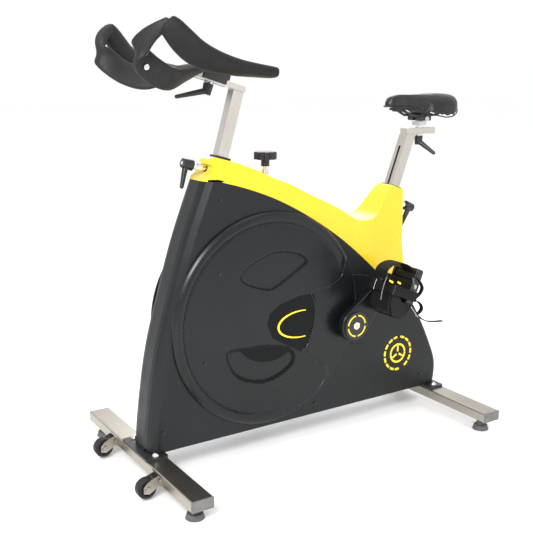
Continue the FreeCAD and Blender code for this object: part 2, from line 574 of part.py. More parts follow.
def hull2(x1, z1, r1, x2, z2, r2, y0, y1):
    d = math.hypot(x2 - x1, z2 - z1)
    th = math.atan2(z2 - z1, x2 - x1)
    a = math.acos((r1 - r2) / d)
    p = [(x1 + r1 * math.cos(th + a), z1 + r1 * math.sin(th + a)), (x2 + r2 * math.cos(th + a), z2 + r2 * math.sin(th + a)),
         (x2 + r2 * math.cos(th - a), z2 + r2 * math.sin(th - a)), (x1 + r1 * math.cos(th - a), z1 + r1 * math.sin(th - a))]
    return fuse([ycyl(x1, z1, r1, y0, y1), ycyl(x2, z2, r2, y0, y1), prism(p, y0, y1)])


belt = hull2(CRANK_X, CRANK_Z, PULLEY_R + 2.6, FLY_X, FLY_Z, PINION_R + 2.6, BELT_Y0 + 0.4, BELT_Y1 - 0.4)
belt = belt.cut(hull2(CRANK_X, CRANK_Z, PULLEY_R + 0.1, FLY_X, FLY_Z, PINION_R + 0.1, BELT_Y0 - 1, BELT_Y1 + 1))
add("drive_belt", belt)

ca = math.radians(CRANK_ANGLE)
ends = {1: (CRANK_X + CRANK_L * math.cos(ca), CRANK_Z + CRANK_L * math.sin(ca)),
        -1: (CRANK_X - CRANK_L * math.cos(ca), CRANK_Z - CRANK_L * math.sin(ca))}
spindles, caps = [], []
for n, k in (("left", 1), ("right", -1)):
    ex, ez = ends[k]
    y0, y1 = (ARM_Y0, ARM_Y1) if k > 0 else (-ARM_Y1, -ARM_Y0)
    arm = hull2(CRANK_X, CRANK_Z, 47, ex, ez, 17, y0, y1)
    yo_ = k * ARM_Y1
    arm = rounded(arm, 5.0, lambda e: abs(e.BoundBox.YMin - yo_) < 0.2 and e.BoundBox.YLength < 0.2)
    arm = arm.cut(ycyl(CRANK_X, CRANK_Z, 10.0, -120, 120)).cut(ycyl(ex, ez, 6.5, -120, 120))
    add("%s_crank_arm" % n, arm)
    caps.append(ycyl(CRANK_X, CRANK_Z, 39.0, min(k * 100.0, k * 103.0), max(k * 100.0, k * 103.0)))
    spindles.append(solid(ycyl(ex, ez, 6.5, min(k * ARM_Y0, k * 206), max(k * ARM_Y0, k * 206))))
add("crank_caps", Part.makeCompound([solid(c) for c in caps]))
add("pedal_spindles", Part.makeCompound(spindles))


def pedal(ex, ez, k):
    cy = k * PEDAL_Y
    b = box(-50, 50, -47, 47, -13, 13)
    b = rounded(b, 7, lambda e: e.BoundBox.ZLength > 20)
    b = rounded(b, 3, lambda e: e.BoundBox.ZLength < 0.1)
    core = ycyl(0, 0, 12.0, -47, 47)
    b = b.cut(box(-40, -15, -38, 38, -20, 20)).cut(box(15, 40, -38, 38, -20, 20)).fuse(core).removeSplitter()
    b = b.cut(ycyl(0, 0, 6.57, -60, 60))
    out_p = [(50.2, -11), (82, -3), (97, 20), (93, 46), (66, 64), (22, 68), (22, 65), (64.6, 61), (89.8, 44.4), (93.8, 20.6), (80.2, -0.3), (50.2, -7.8)]
    roof = prism(out_p, -42, 42)
    sidep = [(50.2, -11), (82, -3), (97, 20), (93, 46), (66, 64), (22, 68)]
    cage = roof
    for q in (1, -1):
        ya, yb = (39, 42) if q > 0 else (-42, -39)
        sd = prism(sidep + [(22, 56), (50.2, 28)], ya, yb)
        sd = sd.cut(prism([(56, 2), (78, 5), (88, 22), (84, 40), (62, 52), (48, 50), (60, 26)], ya - 1, yb + 1))
        cage = cage.fuse(sd)
    cage = cage.cut(box(30, 60, -24, 24, 50, 75)).cut(box(70, 110, -26, 26, 12, 34))
    cage = cage.removeSplitter()
    strap = box(13, 38, -52, 52, -17, 76)
    strap = rounded(strap, 5, lambda e: e.BoundBox.XLength > 20)
    hole = box(0, 50, -49.6, 49.6, -14.6, 73.6)
    hole = rounded(hole, 2.6, lambda e: e.BoundBox.XLength > 20)
    strap = strap.cut(hole)
    buckle = box(11, 40, -34, -10, 76.2, 80)
    buckle = buckle.cut(box(16, 35, -28, -16, 70, 90))
    out = []
    for s in (b, cage, strap, buckle):
        s = solid(s)
        if k < 0:
            s = solid(mirror_y(s))
        s.rotate(V(0, 0, 0), V(0, 1, 0), PEDAL_TILT)
        s.translate(V(ex, cy, ez))
        out.append(solid(s))
    return out


for n, k in (("left", 1), ("right", -1)):
    b, cage, strap, buckle = pedal(ends[k][0], ends[k][1], k)
    add("%s_pedal" % n, b)
    add("%s_toe_clip" % n, Part.makeCompound([cage, strap, buckle]))

# ---- handlebar post with its slide tube --------------------------------------------------------
post = slab(HP, HEAD_TILT, -175, 174, -HPOST_U, HPOST_U, -HPOST_Y, HPOST_Y)
post_i = slab(HP, HEAD_TILT, -180, 172, -HPOST_U + 2, HPOST_U - 2, -HPOST_Y + 2, HPOST_Y - 2)
rail = slab(HP, HEAD_TILT, 173, 187, -15, 132, -20, 20)
rail_i = slab(HP, HEAD_TILT, 175, 185, -13, 130, -18, 18)
slot = slab(HP, HEAD_TILT, 165, 195, 34, 124, -5.6, 5.6)
hp = post.cut(post_i).fuse(rail.cut(rail_i)).cut(slot).removeSplitter()
add("handlebar_post", hp)
carr = slab(HP, HEAD_TILT, 187.3, 208, 36, 118, -21, 21)
carr = rounded(carr, 3, lambda e: e.BoundBox.YLength > 30)
lips = [slab(HP, HEAD_TILT, 176, 190, 44, 110, 20.3, 24), slab(HP, HEAD_TILT, 176, 190, 44, 110, -24, -20.3)]
carr = carr.fuse(slab(HP, HEAD_TILT, 187.3, 192, 44, 110, -24, 24)).fuse(lips[0]).fuse(lips[1])
SU_ = 80.0
carr = carr.cut(cyl(on(HP, HEAD_TILT, 180, SU_), on(HP, HEAD_TILT, 204, SU_), 5.0)).removeSplitter()
add("handlebar_carriage", carr)
st = cyl(on(HP, HEAD_TILT, 140, SU_), on(HP, HEAD_TILT, 204, SU_), 5.0).fuse(cyl(on(HP, HEAD_TILT, 168.5, SU_), on(HP, HEAD_TILT, 172.6, SU_), 12.0))
add("handlebar_clamp_stud", st.removeSplitter())


def lever(P, tilt, hub0, hub1, axis_uv, tip, r=13.0):
    """Clamping lever: a round hub on its stud and a tapering handle set off to one side."""
    h0, h1 = V(*hub0), V(*hub1)
    d = h1 - h0
    L = d.Length
    d.normalize()
    hub = Part.makeCone(r, r - 2.0, L, h0, d)
    root = h0 + d * (L * 0.62)
    tip = V(*tip)
    a = tip - root
    La = a.Length
    arm = Part.makeCone(8.0, 5.0, La, root, a).fuse(Part.makeSphere(5.0, tip))
    s = hub.fuse(arm)
    s = s.cut(Part.makeCylinder(5.07, L + 60, h0 - d * 30, d))
    s = max(s.removeSplitter().Solids, key=lambda q: q.Volume)
    return s


a_ = math.radians(HEAD_TILT)
Dh = V(-math.sin(a_), 0, math.cos(a_))
Uh = V(math.cos(a_), 0, math.sin(a_))
h0 = V(*on(HP, HEAD_TILT, 167.5, SU_))
h1 = V(*on(HP, HEAD_TILT, 141, SU_))
tipv = V(353, 0, 949)
add("handlebar_lever", lever(HP, HEAD_TILT, (h0.x, h0.y, h0.z), (h1.x, h1.y, h1.z), None, (tipv.x, tipv.y, tipv.z)))

# clamp of the handlebar post, in front of the head tube
hs = cyl(on(HP, HEAD_TILT, -35, 15.4), on(HP, HEAD_TILT, -35, 102), 5.0)
hs = hs.fuse(cyl(on(HP, HEAD_TILT, -35, 48), on(HP, HEAD_TILT, -35, 60), 11.0)).fuse(cyl(on(HP, HEAD_TILT, -35, 60), on(HP, HEAD_TILT, -35, 72), 7.5))
b_ = math.radians(SEAT_TILT)
ss = cyl(on(SP, SEAT_TILT, -35, -15.4), on(SP, SEAT_TILT, -35, -102), 5.0)
ss = ss.fuse(cyl(on(SP, SEAT_TILT, -35, -48), on(SP, SEAT_TILT, -35, -60), 11.0)).fuse(cyl(on(SP, SEAT_TILT, -35, -60), on(SP, SEAT_TILT, -35, -72), 7.5))
add("post_clamp_studs", Part.makeCompound([solid(hs.removeSplitter()), solid(ss.removeSplitter())]))
h0, h1 = V(*on(HP, HEAD_TILT, -35, 73)), V(*on(HP, HEAD_TILT, -35, 101))
tipv = h1 + V(6, 6, -58)
add("head_lever", lever(HP, HEAD_TILT, tuple(h0), tuple(h1), None, tuple(tipv), 14.0))
h0, h1 = V(*on(SP, SEAT_TILT, -35, -73)), V(*on(SP, SEAT_TILT, -35, -101))
tipv = h1 + V(44, -4, -64)
add("seat_tube_lever", lever(SP, SEAT_TILT, tuple(h0), tuple(h1), None, tuple(tipv), 14.0))

# ---- handlebar ---------------------------------------------------------------------------------
BAND = [((262, 24, 1026), (0.1, -1.0, 0.0), 17, 8), ((304, 40, 1014), (0.1, -0.95, -0.2), 23, 8.5), ((350, 56, 1000), (0.2, -0.8, -0.5), 27, 9),
        ((400, 74, 990), (0.3, -0.5, -0.8), 29, 9), ((445, 88, 1004), (0.3, -0.35, -0.88), 30, 9), ((482, 98, 1030), (0.2, -0.15, -0.95), 28, 9),
        ((497, 111, 1053), (-0.1, 0.1, -0.98), 25, 9), ((488, 131, 1077), (-0.4, 0.45, -0.72), 20, 9.5), ((470, 150, 1096), (-0.4, 0.4, -0.75), 15, 10),
        ((451, 165, 1108), (-0.3, 0.3, -0.85), 13, 11)]
WING = [((452, 167, 1104), (0.45, -0.3, -0.82), 24, 12), ((441, 171, 1093), (0.5, -0.33, -0.8), 27, 13.5), ((421, 177, 1070), (0.5, -0.38, -0.74), 30, 14),
        ((396, 184, 1048), (0.45, -0.5, -0.68), 30, 14.5), ((356, 190, 1030), (0.3, -0.65, -0.55), 28, 15), ((304, 194, 1017), (0.15, -0.85, -0.42), 25, 15),
        ((253, 197, 1010), (0.05, -0.95, -0.2), 21, 13.5), ((215, 199, 1005), (0.0, -1.0, -0.1), 17, 11), ((204, 199, 1004), (0.0, -1.0, -0.1), 13, 8.5)]
CORE = [(c, w, a * 0.55, b * 0.5) for c, w, a, b in WING]


def side(rows, k):
    return [((c[0], c[1] * k, c[2]), (w_[0], w_[1] * k, w_[2]), a, b) for c, w_, a, b in rows]


core_parts = []
for k in (1, -1):
    band = ribbon(dense(side(BAND, k), 3))
    wcore = ribbon(dense(side(CORE[:-1], k), 3))
    core_parts += [band, wcore]
cross = box(250, 294, -60, 60, 1014, 1030)
cross2 = box(254, 286, -178, 178, 1015, 1027)
lug = slab(HP, HEAD_TILT, 208.0, 222, 44, 110, -20, 20)
core = core_parts[0]
for s in core_parts[1:] + [cross, cross2, lug]:
    core = core.fuse(s)
core = core.cut(PARTS["handlebar_carriage"]).cut(PARTS["handlebar_clamp_stud"])
core = core.cut(slab(HP, HEAD_TILT, 150, 190, -60, 180, -24.4, 24.4))
core = max(core.Solids, key=lambda q: q.Volume)
add("handlebar_core", core)
for n, k in (("left", 1), ("right", -1)):
    pad = ribbon(dense(side(WING, k), 3))
    pad = pad.cut(core)
    pad = max(pad.Solids, key=lambda q: q.Volume)
    add("%s_handlebar_pad" % n, pad)

# ---- seat post, saddle slide -------------------------------------------------------------------
post = slab(SP, SEAT_TILT, -200, 175, -SPOST_U, SPOST_U, -SPOST_Y, SPOST_Y)
post_i = slab(SP, SEAT_TILT, -220, 190, -SPOST_U + 2, SPOST_U - 2, -SPOST_Y + 2, SPOST_Y - 2)
post = post.cut(post_i).cut(box(-460, -300, -40, 40, 832.5, 900))
post = post.cut(slab(SP, SEAT_TILT, -60, 120, 5, 20, -4, 4))
rail = box(-484, -374, -14, 14, 832, 850).cut(box(-482, -376, -12, 12, 834, 848))
rail = rail.cut(box(-478, -427, -5.6, 5.6, 820, 860))
gus = prism([(-400, 832.2), (-416, 832.2), (-393, 800), (-386, 800)], -3, 3)
sp = post.fuse(rail).fuse(gus).removeSplitter()
sp = max(sp.Solids, key=lambda q: q.Volume)
add("seat_post", sp)

SX = -433.0
st = zcyl(SX, 0, 5.0, 800, 862).fuse(zcyl(SX, 0, 12.0, 827, 831.6)).fuse(zcyl(SX, 0, 11.0, 850.4, 857)).removeSplitter()
add("seat_clamp_stud", st)
h0, h1 = V(SX, 0, 826.5), V(SX, 0, 801)
tipv = h1 + V(-21, 44, -23)
add("saddle_lever", lever(None, 0, tuple(h0), tuple(h1), None, tuple(tipv), 12.5))

# clamp block: fixed lower part on the stud
low = box(SX - 15, SX + 15, -16, 16, 857.0, 867.3).cut(zcyl(SX, 0, 5.0, 850, 863))
low = low.fuse(box(SX - 11, SX + 11, -6.8, 6.8, 866, 882)).removeSplitter()
CPZ = 876.0
low = rounded(low, 3, lambda e: e.BoundBox.ZLength > 10)
low = low.cut(ycyl(SX, CPZ, 4.0, -30, 30))
cbolt = ycyl(SX, CPZ, 4.0, -31, 31).fuse(ycyl(SX, CPZ, 7.5, 28.15, 34)).fuse(ycyl(SX, CPZ, 7.5, -34, -28.15)).removeSplitter()
add("saddle_bracket", Part.makeCompound([solid(low), solid(cbolt)]))
# tilting upper clamp with the rails
cl = box(SX - 20, SX + 20, -28, 28, 870.5, 892)
cl = rounded(cl, 4, lambda e: e.BoundBox.YLength > 40)
cl = cl.cut(box(SX - 40, SX + 40, -7.1, 7.1, 860, 884.5)).cut(ycyl(SX, CPZ, 4.07, -40, 40))
RAIL_Y = 21.0
rails = []
for k in (1, -1):
    pts = [V(-352, k * 9, 902), V(-392, k * RAIL_Y, 886), V(-476, k * RAIL_Y, 886), V(-512, k * 28, 901)]
    seg = []
    for i in range(3):
        seg.append(cyl(tuple(pts[i]), tuple(pts[i + 1]), 3.5))
    for p in pts[1:3]:
        seg.append(Part.makeSphere(3.5, p))
    r = fuse(seg)
    rails.append(r)
cl = cl.cut(Part.makeCompound([cyl((-560, k * RAIL_Y, 886), (-300, k * RAIL_Y, 886), 3.5) for k in (1, -1)])).removeSplitter()
add("saddle_clamp", max(cl.Solids, key=lambda q: q.Volume))
add("saddle_rails", Part.makeCompound([solid(r) for r in rails]))

PLAN = [(-304, 0), (-307, 13), (-328, 22), (-366, 27), (-402, 37), (-436, 55), (-470, 70), (-500, 75), (-520, 68), (-536, 51), (-545, 25), (-546, 0)]


def plan_solid(scale_y, inset, z0, z1):
    cx = -435.0
    pts = [(cx + (x - cx) * inset, y * scale_y) for x, y in PLAN]
    full = pts + [(x, -y) for x, y in reversed(pts[1:-1])]
    c = Part.BSplineCurve()
    c.interpolate([V(x, y, z0) for x, y in full], PeriodicFlag=True)
    return Part.Face(Part.Wire(c.toShape())).extrude(V(0, 0, z1 - z0))


base = plan_solid(0.70, 0.86, 902, 908)
base = base.fuse(box(-362, -340, -13, 13, 897.5, 903)).fuse(box(-520, -500, -34, 34, 895, 903)).removeSplitter()
for k in (1, -1):
    pts = [V(-352, k * 9, 902), V(-392, k * RAIL_Y, 886), V(-476, k * RAIL_Y, 886), V(-512, k * 28, 901)]
    base = base.cut(cyl(tuple(pts[0]), tuple(pts[1]), 3.5)).cut(cyl(tuple(pts[2]), tuple(pts[3]), 3.5))
base = max(base.Solids, key=lambda q: q.Volume)
add("saddle_base", base)
pad = plan_solid(1.0, 1.0, 872.0, 946)
pad = rounded(pad, 15, lambda e: e.BoundBox.ZMin > 945)
skirt = [(-290, 860), (-290, 908.2), (-380, 907), (-410, 898), (-440, 887), (-476, 879), (-500, 882), (-522, 893), (-540, 906), (-560, 910), (-560, 860)]
pad = pad.cut(prism(skirt, -90, 90)).cut(plan_solid(0.76, 0.90, 860, 908))
pad = max(pad.Solids, key=lambda q: q.Volume)
add("saddle_pad", pad)

# ---- brake: knob, screw, spring sleeve, pad -------------------------------------------------------
sl = zcyl(KNOB_X, 0, 9.0, 690, 760).cut(zcyl(KNOB_X, 0, 6.07, 600, 800))
add("brake_sleeve", sl)
rod = zcyl(KNOB_X, 0, 6.0, 606, 790)
hold = box(KNOB_X - 26, KNOB_X + 26, -12, 12, 600, 612)
hold = rounded(hold, 3, lambda e: e.BoundBox.ZLength > 10)
add("brake_rod", rod.fuse(hold).removeSplitter())
bp = box(KNOB_X - 24, KNOB_X + 24, -10, 10, 580, 600).cut(ycyl(FLY_X, FLY_Z, FLY_R + 5.0, -20, 20))
add("brake_pad", bp)
hx = Part.makeHelix(6.0, 36.0, 7.4)
hx.translate(V(KNOB_X, 0, 652))
prof = Part.Wire(Part.makeCircle(0.8, V(KNOB_X + 7.4, 0, 652), V(0, 1, 0)))
spring = Part.Wire(hx.Edges).makePipeShell([prof], True, True)
add("brake_spring", spring)
kn = zcyl(KNOB_X, 0, KNOB_R, 786, 806)
kn = rounded(kn, 5, lambda e: e.BoundBox.ZMin > 805)
kn = kn.fuse(zcyl(KNOB_X, 0, 11, 768, 787)).removeSplitter()
for i in range(8):
    a = math.radians(45 * i)
    kn = kn.cut(zcyl(KNOB_X + 34 * math.cos(a), 34 * math.sin(a), 7.5, 780, 812))
kn = kn.cut(zcyl(KNOB_X, 0, 6.07, 760, 792))
add("resistance_knob", kn)

# ---- write ------------------------------------------------------------------------------------------
os.makedirs("parts", exist_ok=True)
lo, hi = [1e9] * 3, [-1e9] * 3
for name, shape in PARTS.items():
    s = shape.copy()
    s.translate(V(X_SHIFT, 0, 0))
    b = s.BoundBox
    n = len(s.Solids)
    ok = s.isValid() and s.Volume > 0
    print("%-24s solids %2d  vol %10.0f  x %7.1f %7.1f  y %7.1f %7.1f  z %7.1f %7.1f %s" % (
        name, n, s.Volume, b.XMin, b.XMax, b.YMin, b.YMax, b.ZMin, b.ZMax, "" if ok else "INVALID"))
    lo = [min(lo[0], b.XMin), min(lo[1], b.YMin), min(lo[2], b.ZMin)]
    hi = [max(hi[0], b.XMax), max(hi[1], b.YMax), max(hi[2], b.ZMax)]
    s.exportStep("parts/%s.step" % name)
print("nodes", len(PARTS), "box", [round(v, 2) for v in lo + hi])
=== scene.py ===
import json
import math
import random

import bmesh
import bpy
import numpy as np
from mathutils import Matrix, Vector

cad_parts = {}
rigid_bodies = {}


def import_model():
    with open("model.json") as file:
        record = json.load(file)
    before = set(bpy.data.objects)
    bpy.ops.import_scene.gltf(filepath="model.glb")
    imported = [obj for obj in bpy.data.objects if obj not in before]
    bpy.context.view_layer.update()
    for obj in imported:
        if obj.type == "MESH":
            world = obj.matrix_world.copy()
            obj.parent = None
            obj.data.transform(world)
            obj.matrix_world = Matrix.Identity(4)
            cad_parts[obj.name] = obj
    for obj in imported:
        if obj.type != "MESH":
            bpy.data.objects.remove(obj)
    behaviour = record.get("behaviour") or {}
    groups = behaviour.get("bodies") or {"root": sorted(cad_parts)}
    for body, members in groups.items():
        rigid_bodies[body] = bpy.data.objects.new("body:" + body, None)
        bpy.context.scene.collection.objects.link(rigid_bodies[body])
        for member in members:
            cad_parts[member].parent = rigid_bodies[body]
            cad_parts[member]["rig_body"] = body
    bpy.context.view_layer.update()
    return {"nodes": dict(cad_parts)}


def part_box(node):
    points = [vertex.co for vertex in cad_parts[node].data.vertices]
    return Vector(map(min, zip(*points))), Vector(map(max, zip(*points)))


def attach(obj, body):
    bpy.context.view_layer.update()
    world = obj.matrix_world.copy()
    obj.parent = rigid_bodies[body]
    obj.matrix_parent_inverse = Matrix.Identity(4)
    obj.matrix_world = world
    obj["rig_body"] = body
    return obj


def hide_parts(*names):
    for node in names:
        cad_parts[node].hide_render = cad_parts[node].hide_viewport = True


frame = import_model()
nodes = frame["nodes"]
random.seed(7)

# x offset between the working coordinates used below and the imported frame, from the crank axle
_a, _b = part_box("crank_axle")
DX = (_a.x + _b.x) / 2 + 0.136
MM = 0.001


def P(x, y, z):
    return Vector((x * MM + DX, y * MM, z * MM))


# ---------------------------------------------------------------------------------------------
# materials
# ---------------------------------------------------------------------------------------------
class Tree:
    def __init__(self, name):
        self.m = bpy.data.materials.new(name)
        self.m.use_nodes = True
        self.t = self.m.node_tree
        self.b = self.t.nodes["Principled BSDF"]
        self.co = self.t.nodes.new("ShaderNodeTexCoord").outputs["Object"]

    def node(self, kind, **kw):
        n = self.t.nodes.new(kind)
        for k, v in kw.items():
            if k.startswith("_"):
                setattr(n, k[1:], v)
            else:
                n.inputs[k.replace("__", " ")].default_value = v
        return n

    def link(self, a, b):
        self.t.links.new(a, b)

    def mapped(self, scale, rot=(0, 0, 0)):
        n = self.t.nodes.new("ShaderNodeMapping")
        n.inputs["Scale"].default_value = scale
        n.inputs["Rotation"].default_value = rot
        self.link(self.co, n.inputs["Vector"])
        return n.outputs["Vector"]

    def noise(self, scale, detail=3.0, rough=0.55, vec=None):
        n = self.node("ShaderNodeTexNoise", Scale=scale, Detail=detail, Roughness=rough)
        self.link(vec or self.co, n.inputs["Vector"])
        return n.outputs["Fac"]

    def ramp(self, fac, stops):
        n = self.t.nodes.new("ShaderNodeValToRGB")
        r = n.color_ramp
        while len(r.elements) > len(stops):
            r.elements.remove(r.elements[-1])
        while len(r.elements) < len(stops):
            r.elements.new(0.5)
        for e, (p, c) in zip(r.elements, stops):
            e.position = p
            e.color = tuple(c) + (1.0,) if len(c) == 3 else c
        self.link(fac, n.inputs["Fac"])
        return n.outputs["Color"]

    def span(self, fac, lo, hi, a=0.3, b=0.7):
        n = self.t.nodes.new("ShaderNodeMapRange")
        n.inputs["From Min"].default_value = a
        n.inputs["From Max"].default_value = b
        n.inputs["To Min"].default_value = lo
        n.inputs["To Max"].default_value = hi
        self.link(fac, n.inputs["Value"])
        return n.outputs["Result"]

    def bump(self, heights):
        """heights: list of (socket, distance in metres, strength); chained."""
        last = None
        for fac, dist, strength in heights:
            n = self.node("ShaderNodeBump", Strength=strength, Distance=dist)
            self.link(fac, n.inputs["Height"])
            if last is not None:
                self.link(last, n.inputs["Normal"])
            last = n.outputs["Normal"]
        self.link(last, self.b.inputs["Normal"])

    def colour(self, fac, c0, c1, a=0.35, b=0.65):
        self.link(self.ramp(fac, [(a, c0), (b, c1)]), self.b.inputs["Base Color"])

    def rough(self, fac, lo, hi):
        self.link(self.span(fac, lo, hi), self.b.inputs["Roughness"])


def shade(c, k):
    return tuple(min(1.0, v * k) for v in c)


def plastic(name, c, r=(0.34, 0.46), grain=2600, depth=0.00006, strength=0.35, vary=0.16, spec=0.5, coat=0.0, coat_r=0.15, mottle=7):
    t = Tree(name)
    big = t.noise(mottle, 5.0, 0.6)
    t.colour(big, shade(c, 1 - vary), shade(c, 1 + vary))
    t.rough(t.noise(mottle * 3.1, 4.0), *r)
    fine = t.noise(grain, 2.0, 0.5)
    wave = t.noise(9.0, 2.0, 0.5)
    t.bump([(wave, 0.0012, 0.10), (fine, depth, strength)])
    t.b.inputs["Specular IOR Level"].default_value = spec
    if coat:
        t.b.inputs["Coat Weight"].default_value = coat
        t.b.inputs["Coat Roughness"].default_value = coat_r
    return t.m


def metal(name, c, r=(0.2, 0.34), scale=(1, 1, 1), rot=(0, 0, 0), depth=0.00003, strength=0.3, vary=0.08, streak=900.0, mottle=11):
    t = Tree(name)
    v = t.mapped(scale, rot)
    s = t.noise(streak, 3.0, 0.6, v)
    big = t.noise(mottle, 4.0, 0.6)
    mix = t.node("ShaderNodeMath", _operation="ADD")
    half = t.node("ShaderNodeMath", _operation="MULTIPLY")
    half.inputs[1].default_value = 0.5
    t.link(s, mix.inputs[0])
    t.link(big, mix.inputs[1])
    t.link(mix.outputs[0], half.inputs[0])
    t.colour(half.outputs[0], shade(c, 1 - vary), shade(c, 1 + vary))
    t.rough(half.outputs[0], *r)
    t.bump([(s, depth, strength)])
    t.b.inputs["Metallic"].default_value = 1.0
    return t.m


TILT_H, TILT_S = math.radians(16.2), math.radians(20.5)
black = plastic("satin_black_plastic", (0.0075, 0.0085, 0.0095), r=(0.33, 0.45), vary=0.14, spec=0.30)
black_disc = plastic("satin_black_disc", (0.0060, 0.0068, 0.0078), r=(0.25, 0.35), vary=0.14, spec=0.32)
# painted shade: a darker, less reflective black stands in for the shade in the recessed scoops of the round covers; on
# the teardrop it is partly its own gloss black, partly painted shade
scoop_painted_shade = plastic("scoop_painted_shade", (0.0022, 0.0026, 0.0030), r=(0.30, 0.40), vary=0.1, spec=0.16)
gloss_black = plastic("gloss_black_plastic", (0.008, 0.009, 0.011), r=(0.14, 0.22), grain=1400, depth=0.00002, strength=0.2)
yellow = plastic("yellow_plastic", (0.76, 0.54, 0.012), r=(0.22, 0.32), grain=2200, depth=0.00003, strength=0.2, vary=0.03, coat=0.2, coat_r=0.10)
yellow_ink = plastic("yellow_print", (0.93, 0.72, 0.02), r=(0.35, 0.45), vary=0.05, mottle=60)
white_ink = plastic("white_print", (0.80, 0.80, 0.78), r=(0.35, 0.45), vary=0.04, mottle=60)
nylon = plastic("black_nylon", (0.008, 0.008, 0.009), r=(0.30, 0.42), grain=1800, strength=0.5, vary=0.2, mottle=30)
rubber = plastic("black_rubber", (0.011, 0.011, 0.012), spec=0.35, r=(0.5, 0.65), grain=1500, depth=0.0001, strength=0.5, vary=0.2, mottle=40)
grey_plastic = plastic("grey_end_plug", (0.16, 0.155, 0.15), r=(0.45, 0.58), grain=1500, strength=0.5, mottle=40)
foot_grey = plastic("foot_rubber", (0.085, 0.085, 0.088), r=(0.5, 0.65), grain=1300, depth=0.0001, strength=0.6, mottle=40)
powder = plastic("black_powder_coat", (0.017, 0.017, 0.018), r=(0.38, 0.5), grain=1100, depth=0.00012, strength=0.5, mottle=25)
# painted light and shade: one brushed stainless in three tones, a lighter copy on the posts (lightest on the front
# post) and a darker copy on the stabiliser bars and wheel brackets
steel_y = metal("brushed_stainless_bar", (0.40, 0.37, 0.325), r=(0.26, 0.42), scale=(1, 0.02, 1), strength=0.45)
steel_h = metal("brushed_stainless_post_front", (0.56, 0.53, 0.485), r=(0.24, 0.38), scale=(1, 1, 0.02), rot=(0, TILT_H, 0), strength=0.45)
steel_s = metal("brushed_stainless_post_seat", (0.53, 0.505, 0.46), r=(0.24, 0.38), scale=(1, 1, 0.02), rot=(0, TILT_S, 0), strength=0.45)
steel = metal("turned_steel", (0.52, 0.52, 0.53), r=(0.2, 0.34), streak=500, mottle=30)
chrome = metal("polished_chrome", (0.78, 0.78, 0.79), r=(0.05, 0.13), streak=400, strength=0.08, vary=0.03, mottle=30)
iron = metal("flywheel_iron", (0.30, 0.30, 0.31), r=(0.3, 0.45), streak=700, mottle=20)
felt = plastic("brake_felt", (0.30, 0.27, 0.22), r=(0.85, 0.95), grain=900, depth=0.0006, strength=0.9, mottle=60)


def foam_material():
    t = Tree("black_foam")
    t.colour(t.noise(14.0, 5.0, 0.65), (0.0035, 0.0035, 0.0037), (0.007, 0.007, 0.0075))
    t.rough(t.noise(30.0, 3.0), 0.52, 0.66)
    t.bump([(t.noise(55.0, 3.0, 0.6), 0.0006, 0.35), (t.noise(1700.0, 2.0, 0.6), 0.00022, 0.7)])
    t.b.inputs["Specular IOR Level"].default_value = 0.3
    t.b.inputs["Sheen Weight"].default_value = 0.02
    t.b.inputs["Sheen Roughness"].default_value = 0.5
    return t.m


def vinyl_material():
    t = Tree("black_vinyl")
    t.colour(t.noise(20.0, 4.0, 0.6), (0.004, 0.004, 0.0045), (0.007, 0.007, 0.0075))
    t.rough(t.noise(45.0, 3.0), 0.22, 0.34)
    v = t.node("ShaderNodeTexVoronoi", Scale=620.0)
    v.feature = "DISTANCE_TO_EDGE"
    t.link(t.co, v.inputs["Vector"])
    t.bump([(t.noise(38.0, 2.0, 0.5), 0.0010, 0.25), (t.span(v.outputs["Distance"], 0.0, 1.0, 0.0, 0.25), 0.00018, 0.55)])
    return t.m


def web_material():
    t = Tree("woven_strap")
    w1 = t.node("ShaderNodeTexWave", Scale=170.0, Distortion=0.4)
    w1.bands_direction = "Y"
    w2 = t.node("ShaderNodeTexWave", Scale=170.0, Distortion=0.4)
    w2.bands_direction = "DIAGONAL"
    t.link(t.co, w1.inputs["Vector"])
    t.link(t.co, w2.inputs["Vector"])
    mul = t.node("ShaderNodeMath", _operation="MULTIPLY")
    t.link(w1.outputs["Fac"], mul.inputs[0])
    t.link(w2.outputs["Fac"], mul.inputs[1])
    t.colour(mul.outputs[0], (0.003, 0.003, 0.0035), (0.010, 0.010, 0.0105), 0.1, 0.8)
    t.b.inputs["Specular IOR Level"].default_value = 0.25
    t.rough(t.noise(200.0), 0.6, 0.75)
    t.bump([(mul.outputs[0], 0.0004, 0.8)])
    return t.m


foam, vinyl, web = foam_material(), vinyl_material(), web_material()
thread = plastic("stitch_thread", (0.028, 0.028, 0.03), r=(0.6, 0.7), grain=3000, mottle=200)

